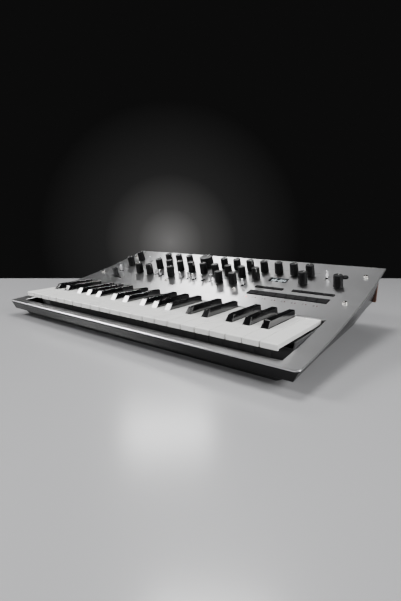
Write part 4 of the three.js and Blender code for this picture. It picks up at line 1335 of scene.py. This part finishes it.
CASE_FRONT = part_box("lower_case")[0].y
case = refined("lower_case", CASE_EDGE, 3)
apron_slot = cube((-0.2185, CASE_FRONT - MM, 0.0135), (-0.2125, CASE_FRONT + 1.6 * MM, 0.0148))
cut_away(case, apron_slot)
paint(case, CASE_PLASTIC)
on_body(case, "root", "case", "lower_case")
print("case:", len(case.data.polygons), "faces", [round(v, 4) for v in case.dimensions])

# %% Feet and base screws
for node in ("front_foot", "rear_foot"):
    low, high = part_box(node)
    foot = cube(low, high, node + "_strip")
    soften(foot, 0.6 * MM, 3)
    depth = high.y - low.y
    for share in (0.3, 0.5, 0.7):
        across = low.y + share * depth
        cut_away(foot, cross_rod(0.5 * MM, low.x - MM, high.x + MM, across, low.z, 12))
    on_body(paint(foot, RUBBER), "root", "rubber", node)

BASE_Z = 0.0025
BASE_SCREW_SCALE = 0.8
BASE_SCREWS = [(x, y) for x in (-0.19, -0.065, 0.065, 0.19) for y in (-0.09, 0.075)]
base_screw = copy_to(screw, "base_screw_model", Matrix.Rotation(math.radians(180), 4, "X"))
base_screw.data.transform(Matrix.Diagonal((*[BASE_SCREW_SCALE] * 3, 1)))
for k, (x, y) in enumerate(BASE_SCREWS):
    piece = copy_to(base_screw, "base_screw_%d" % (k + 1), Matrix.Translation((x, y, BASE_Z)))
    on_body(piece, "root", "steel")
discard(base_screw, screw)
print("feet and", len(BASE_SCREWS), "base screws")

# %% [markdown]
# ## Wooden rear panel and sockets
# The rear is a strip of solid hardwood that leans back slightly. The strip starts as a
# box, and its top edge is moved back. A round hole is bored for each socket.

# %% Bore the wood
WOOD_THICK = 0.0045
WOOD_LOW, WOOD_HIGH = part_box("rear_panel")
WOOD_LEAN = WOOD_HIGH.y - WOOD_LOW.y - WOOD_THICK
SWITCH_LOW, SWITCH_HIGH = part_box("power_switch")
SOCKET_Z = (SWITCH_LOW.z + SWITCH_HIGH.z) / 2
SOCKET_ROOM = 0.0009
JACK_BODY = (0.015, 0.022, 0.0128)
SYNC_BODY = (0.010, 0.016, 0.011)
NOTE_BODY = (0.017, 0.014, 0.0148)

# Name, place along the panel, radius of its mouth, and the size of its body.
ROUND_SOCKETS = [
    ("headphones", 0.178, 0.0033, JACK_BODY),
    ("output", 0.152, 0.0033, JACK_BODY),
    ("audio_in", 0.126, 0.0033, JACK_BODY),
    ("sync_out", 0.092, 0.0019, SYNC_BODY),
    ("sync_in", 0.072, 0.0019, SYNC_BODY),
    ("note_in", -0.022, 0.0066, NOTE_BODY),
    ("note_out", -0.054, 0.0066, NOTE_BODY),
    ("power_in", -0.172, 0.0033, (0.010, 0.014, 0.012)),
]
DATA_PORT = {"x": 0.024, "width": 0.009, "height": 0.008, "body": (0.013, 0.016, 0.013)}
SWITCH = {"x": -0.132, "travel": 0.004, "knob": 0.005, "body": (0.018, 0.010, 0.011)}

# Turns a piece made along Z so that it points out of the rear.
TO_REAR = Matrix.Rotation(math.radians(-90), 4, "X")


def at_rear(x, y):
    return Matrix.Translation((x, y, SOCKET_Z)) @ TO_REAR


def wood_face(z):
    """Y of the outer face of the wood at a height."""
    return WOOD_LOW.y + WOOD_THICK + WOOD_LEAN * (z - WOOD_LOW.z) / (WOOD_HIGH.z - WOOD_LOW.z)


wood = cube(WOOD_LOW, (WOOD_HIGH.x, WOOD_LOW.y + WOOD_THICK, WOOD_HIGH.z), "rear_panel_wood")
edit(wood)
select("verts", lambda vertex: near(vertex.co.z, WOOD_HIGH.z))
bpy.ops.transform.translate(value=(0, WOOD_LEAN, 0))
leave_edit()
soften(wood, 0.4 * MM, 2)
holes = []
for _, x, radius, _ in ROUND_SOCKETS:
    hole = rod(radius + SOCKET_ROOM, -0.02, 0.02, 40)
    hole.data.transform(at_rear(x, WOOD_HIGH.y))
    holes.append(hole)
BORE_FROM, BORE_TO = 0.1, 0.14       # cutters of the square holes, through the wood
room = DATA_PORT["width"] / 2 + SOCKET_ROOM, DATA_PORT["height"] / 2 + SOCKET_ROOM
holes.append(cube(
    (DATA_PORT["x"] - room[0], BORE_FROM, SOCKET_Z - room[1]),
    (DATA_PORT["x"] + room[0], BORE_TO, SOCKET_Z + room[1]),
))
room = SWITCH["knob"] / 2 + SOCKET_ROOM
holes.append(cube(
    (SWITCH["x"] - room, BORE_FROM, SOCKET_Z - room),
    (SWITCH["x"] + room + SWITCH["travel"], BORE_TO, SOCKET_Z + room),
))
cut_away(wood, merged(holes, "bores"))
smooth(wood, 30)
on_body(paint(wood, WOOD), "root", "wood", "rear_panel")
print("wood:", len(wood.data.polygons), "faces, leaning", round(WOOD_LEAN, 4))

# %% [markdown]
# Every socket is a block on one circuit board behind the wood. The jacks also have a
# threaded nickel collar and a nut outside, which clamp them to the panel.

# %% Sockets and their board
BOARD_THICK = 0.0016
PIN_CIRCLE = 0.0045
BORE_SHARE = 0.8         # of a socket's depth that is bored out
JACK_LOW, JACK_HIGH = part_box("jack_board")


def block(x, body):
    width, depth, height = body
    low = (x - width / 2, JACK_HIGH.y - depth, JACK_LOW.z + BOARD_THICK)
    return cube(low, (x + width / 2, JACK_HIGH.y, low[2] + height), "socket_block")


board = cube(JACK_LOW, (JACK_HIGH.x, JACK_HIGH.y, JACK_LOW.z + BOARD_THICK), "jack_board_assembly")
parts = [paint(soften(board, 0.2 * MM), BOARD_GREEN)]
outside = wood_face(SOCKET_Z)
for name, x, radius, body in ROUND_SOCKETS:
    socket = block(x, body)
    bore = rod(radius, -body[1] * BORE_SHARE, 0.002, 40)
    bore.data.transform(at_rear(x, JACK_HIGH.y))
    cut_away(socket, bore)
    parts.append(paint(soften(socket, 0.35 * MM), SOCKET_PLASTIC))
    wall = min(0.85 * MM, radius * 0.3)
    collar = ring_model(radius + wall, radius, -0.0005, outside - JACK_HIGH.y + 1.4 * MM)
    metal = SOCKET_PLASTIC if name.startswith(("note", "power")) else NICKEL
    collar.data.transform(at_rear(x, JACK_HIGH.y))
    parts.append(paint(collar, metal))
    if metal is NICKEL:
        nut = ring_model(radius + 2.6 * MM, radius + wall, 0, 1.1 * MM, 6 if radius > 3 * MM else 24)
        nut.data.transform(at_rear(x, outside - 0.1 * MM))
        parts.append(paint(nut, NICKEL))
    if name.startswith("note"):
        for angle in (-90, -45, 0, 45, 90):
            floor = -body[1] * BORE_SHARE
            pin_hole = turned([(0.8 * MM, floor), (0.8 * MM, floor + 1.2 * MM)], 12)
            turn = math.radians(angle + 90)
            side, up = PIN_CIRCLE * math.cos(turn), PIN_CIRCLE * math.sin(turn)
            place = Matrix.Translation((x + side, JACK_HIGH.y, SOCKET_Z + up))
            pin_hole.data.transform(place @ TO_REAR)
            parts.append(paint(pin_hole, NICKEL))
    if name == "power_in":
        pin = turned([(0.9 * MM, -body[1] * BORE_SHARE), (0.9 * MM, -2 * MM), (0.5 * MM, -1.6 * MM)], 16)
        pin.data.transform(at_rear(x, JACK_HIGH.y))
        parts.append(paint(smooth(pin), NICKEL))

port = block(DATA_PORT["x"], DATA_PORT["body"])
mouth = (DATA_PORT["width"] / 2, DATA_PORT["height"] / 2)
cut_away(port, cube(
    (DATA_PORT["x"] - mouth[0], JACK_HIGH.y - 0.011, SOCKET_Z - mouth[1]),
    (DATA_PORT["x"] + mouth[0], JACK_HIGH.y + 0.001, SOCKET_Z + mouth[1]),
))
tongue = cube(
    (DATA_PORT["x"] - 2.7 * MM, JACK_HIGH.y - 0.011, SOCKET_Z - 1.5 * MM),
    (DATA_PORT["x"] + 2.7 * MM, JACK_HIGH.y - 0.0015, SOCKET_Z + 1.5 * MM),
)
parts += [paint(soften(port, 0.3 * MM), NICKEL), paint(soften(tongue, 0.3 * MM), POINTER)]
switch_body = block(SWITCH["x"], SWITCH["body"])
room = SWITCH["knob"] / 2 + FIT
cut_away(switch_body, cube(
    (SWITCH["x"] - room, SWITCH_LOW.y - FIT, SOCKET_Z - room),
    (SWITCH["x"] + room + SWITCH["travel"], JACK_HIGH.y + 0.001, SOCKET_Z + room),
))
parts.append(paint(soften(switch_body, 0.3 * MM), STEEL))
on_body(merged(parts, "jack_board_assembly"), "root", "board", "jack_board")
print("sockets:", len(ROUND_SOCKETS) + 1)

# %% Power switch
switch = cube(SWITCH_LOW, SWITCH_HIGH, "power_switch_knob")
edit(switch, "FACE")
select("faces", lambda face: face.normal.y > 0.9)
for _ in range(2):
    bpy.ops.mesh.inset(thickness=0.7 * MM)
    bpy.ops.mesh.inset(thickness=0.15 * MM, depth=-0.4 * MM)
leave_edit()
soften(switch, 0.25 * MM, 2)
on_body(paint(switch, KNOB_SKIN), "power_switch", "knob", "power_switch")
print("switch rides its own body")

# %% [markdown]
# ## Boards behind the panel
# Pots and switches stand on circuit boards that follow the slope of the panel. They are
# hidden when the case is closed, and show through the gaps around the levers.

# %% Control boards
BOARD_DEPTH = 0.009
POT_SIZE = 0.0114
POT_TOP = -7.6 * MM
BOARD_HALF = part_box("control_board_right")[1].x
BOARD_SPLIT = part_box("control_board_right")[0].x
LEFT_EDGE, LEFT_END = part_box("control_board_left")[0].x, BOARD_SPLIT - 0.003
BOARD_REAR = ROW["rear"] + 0.008
SLIDER_FRONT = SLIDER_PLACE[1] - 0.0135
STRIP_FRONT = STEP_ROW["y"] - STEP_ROW["depth"] / 2 - 0.008
STRIP_REAR = ROW["middle"] - POT_SIZE / 2 - 0.001


def board_slab(left, right, front, rear, middle):
    slab = cube(
        (left, front - middle, -BOARD_DEPTH - BOARD_THICK),
        (right, rear - middle, -BOARD_DEPTH),
        "board",
    )
    slab.data.transform(seat(0, middle))
    return paint(soften(slab, 0.2 * MM), BOARD_GREEN)


def pot_model():
    half = POT_SIZE / 2
    can = cube((-half, -half, -BOARD_DEPTH - 0.9 * MM), (half, half, POT_TOP), "pot")
    paint(soften(can, 0.5 * MM, 3), STEEL)
    bush = ring_model(4.6 * MM, 3.3 * MM, -7.8 * MM, -3.0 * MM, 32)
    return merged([can, paint(bush, NICKEL)], "pot")


def house_model():
    floor = cube((-5 * MM, -7.5 * MM, -BOARD_DEPTH - 1.2 * MM), (5 * MM, 7.5 * MM, POT_TOP), "house")
    parts = [paint(soften(floor, 0.3 * MM), SOCKET_PLASTIC)]
    for side in (-1, 1):
        left, right = sorted((side * 4.9 * MM, side * 2.6 * MM))
        cheek = cube((left, -7.4 * MM, -8 * MM), (right, 7.4 * MM, -3.5 * MM))
        parts.append(paint(soften(cheek, 0.3 * MM), STEEL))
    return merged(parts, "house")


pot, house = pot_model(), house_model()
lever_places = [(x, y, 0.0) for x, y in FIXED_TOGGLES + list(SWINGING_TOGGLES.values())]
lever_places.append((*OCTAVE_PLACE, math.radians(90)))
sides = {
    "control_board_left": [board_slab(LEFT_EDGE, LEFT_END, SLIDER_FRONT, BOARD_REAR, ROW["middle"])],
    "control_board_right": [
        board_slab(BOARD_SPLIT, BOARD_HALF, ROW["middle"] - POT_SIZE / 2, BOARD_REAR, ROW["middle"]),
        board_slab(BOARD_SPLIT, STEP_ROW["left"] - 0.008, STRIP_FRONT, STRIP_REAR, ROW["middle"]),
    ],
}
stands = [(pot, "pot", (x, y)) for x, y in all_knobs]
stands += [(house, "house", place) for place in lever_places]
for model, name, place in stands:
    side = "control_board_left" if place[0] < BOARD_SPLIT else "control_board_right"
    sides[side].append(copy_to(model, name, seat(*place)))
track = house_model()
track.data.transform(Matrix.Diagonal((1.0, 3.0, 1.0, 1.0)))
track.data.transform(Matrix.Rotation(math.radians(90), 4, "Z"))
sides["control_board_left"].append(on_panel(track, *SLIDER_PLACE, SLIDER_TURN))
discard(pot, house)
for node, group in sides.items():
    piece = merged(group, node + "_assembly")
    on_body(piece, "root", "board", node)
    print(node, len(piece.data.polygons), "faces")

strip_board = board_slab(STEP_ROW["left"] - 0.005, BOARD_HALF, STRIP_FRONT, STRIP_REAR - 0.002,
                         (STRIP_FRONT + STRIP_REAR) / 2)
strip_board.name = "button_board_assembly"
on_body(strip_board, "root", "board", "button_board")

# %% [markdown]
# Below the lips of the keys the front wall of the key frame shows. The real one has a
# guide slot under every gap between two keys, so slots are cut into a refined copy of it.

# %% Key frame with its guide slots
SLOT_WIDTH = 0.0009
SLOT_DEPTH = 0.0008
FRAME_LOW, FRAME_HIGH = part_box("key_frame")
WHITE_COUNT = white_count + 1
key_frame = refined("key_frame", 0.0003, 2)
slots = []
for k in range(1, WHITE_COUNT):
    x = -KEYBOARD_HALF + k * OCTAVE_WIDTH / 7
    slots.append(cube((x - SLOT_WIDTH / 2, FRAME_LOW.y - MM, FRAME_LOW.z + MM),
                      (x + SLOT_WIDTH / 2, FRAME_LOW.y + SLOT_DEPTH, FRAME_HIGH.z + MM)))
cut_away(key_frame, merged(slots, "guide_slots"))
on_body(paint(key_frame, KEYBED_PLASTIC), "root", "keybed", "key_frame")
print("key frame:", len(key_frame.data.polygons), "faces,", WHITE_COUNT - 1, "guide slots")

# %% [markdown]
# The pivot rod and the contact strip are simple parts whose working shape is already the
# real one. They stay, and only get their finishes.

# %% Finishes of the parts that stay
KEPT = {"key_pivot_rod": STEEL, "key_contact_board": RUBBER}
for node, material in KEPT.items():
    for slot in bpy.data.objects[node].material_slots:
        slot.material = material
print("kept as they are:", ", ".join(KEPT))

# %% [markdown]
# ## Stage
# The instrument stands on a plain pale table. The table ends behind it, and a dark
# backdrop hangs beyond, with one soft pool of light painted low down on it as glowing
# colour. A pale surface that ends in darkness makes the black controls stand out and
# keeps the metal's own sheen visible.

# %% Table and backdrop
CAMERA_FOOT = Matrix.Translation((CAMERA_PLACE[0], CAMERA_PLACE[1], 0))
HEADING = Matrix.Rotation(math.radians(CAMERA_TURN), 4, "Z")
TABLE = (4.0, 4.0)
TABLE_END = 1.0          # from the camera to the table's rear edge, along the view
BACKDROP_AWAY = 6.0
BACKDROP = (30.0, 16.0)
# Place and size of the painted pool of light: a glowing patch on the backdrop that stands for a spotlight's
# light.
PAINTED_GLOW_SIDE, PAINTED_GLOW_HEIGHT, PAINTED_GLOW_RADIUS = -0.46, -0.22, 2.0
DARK = 0.006             # how much light comes from the unlit room


def stage_plane(name, size, place, upright_plane, material):
    """A plane set out from the camera's foot, in the direction that the camera looks."""
    deselect()
    bpy.ops.mesh.primitive_plane_add(size=1)
    plane = bpy.context.object
    plane.name = name
    plane.data.transform(Matrix.Diagonal((*size, 1, 1)))
    if upright_plane:
        plane.data.transform(Matrix.Rotation(math.radians(90), 4, "X"))
    plane.data.transform(CAMERA_FOOT @ HEADING @ Matrix.Translation(place))
    paint(plane, material)


def table_finish():
    finish = Finish("table top", roughness=0.5, specular_ior_level=0.3, coat_weight=1.0, coat_roughness=0.2)
    cloud = finish.noise(2, 2.0)
    finish.feed("Base Color", finish.ramp(cloud, [
        (0.3, (0.38, 0.38, 0.39)),
        (0.7, (0.41, 0.41, 0.42)),
    ]))
    return finish.material


def backdrop_painted_glow_finish():
    finish = Finish("backdrop with painted glow", base_color=(0.0, 0.0, 0.0), roughness=1.0, specular_ior_level=0.0)
    centre = CAMERA_FOOT @ HEADING @ Vector((PAINTED_GLOW_SIDE, BACKDROP_AWAY, PAINTED_GLOW_HEIGHT))
    here = finish.node("ShaderNodeTexCoord", output=3)
    away = finish.node("ShaderNodeVectorMath", {"operation": "DISTANCE"}, [here, tuple(centre)], output=1)
    # The emission colour is a painted pool of light. It is brightest round one spot low on the backdrop and
    # fades to the room's dark, and the metal mirrors it.
    finish.feed("Emission Color", finish.ramp(away * (1 / PAINTED_GLOW_RADIUS), [
        (0.0, (0.17, 0.167, 0.165)),
        (0.25, (0.06, 0.059, 0.058)),
        (0.5, (0.02, 0.02, 0.02)),
        (1.0, (DARK, DARK, DARK)),
    ]))
    finish.feed("Emission Strength", 1.0)
    return finish.material


stage_plane("table_top", TABLE, (0, TABLE_END - TABLE[1] / 2, 0), False, table_finish())
stage_plane("backdrop", BACKDROP, (0, BACKDROP_AWAY, 0), True, backdrop_painted_glow_finish())
print("table ends", TABLE_END, "m from the camera")

# %% Lamps
# Blasted metal is brightest where it mirrors a lamp, so one soft box stands far behind
# the instrument, straight across from the camera. One overhead lights the keys, one on
# the bass side draws the shadows to the treble side, and two weak ones open dark faces.


def soft_lamp(name, place, aim, size, power):
    bpy.ops.object.light_add(type="AREA", location=place)
    lamp_object = bpy.context.object
    lamp_object.name = name
    lamp_object.data.shape = "RECTANGLE"
    lamp_object.data.size, lamp_object.data.size_y = size
    lamp_object.data.energy = power
    direction = Vector(aim) - Vector(place)
    lamp_object.rotation_euler = direction.to_track_quat("-Z", "Y").to_euler()


soft_lamp("rear_key_lamp", (-2.73, 2.92, 2.6), (0, 0, 0), (1.1, 0.5), 32)
soft_lamp("overhead_lamp", (-0.25, 0.40, 1.5), (0, -0.05, 0), (0.5, 0.5), 22)
soft_lamp("bass_side_lamp", (-1.0, -0.5, 0.8), (-0.1, -0.15, 0.0), (0.4, 0.4), 17)
soft_lamp("treble_side_lamp", (1.3, 0.1, 0.7), (0.25, 0, 0.0), (0.8, 0.6), 18)
soft_lamp("front_fill_lamp", (0.1, -1.6, 0.5), (0, -0.1, 0.02), (1.2, 0.5), 9)

world = bpy.data.worlds.new("dim room")
bpy.context.scene.world = world
world.use_nodes = True
room_light = world.node_tree.nodes["Background"]
room_light.inputs["Color"].default_value = (1, 1, 1, 1)
room_light.inputs["Strength"].default_value = DARK
print("stage ready")
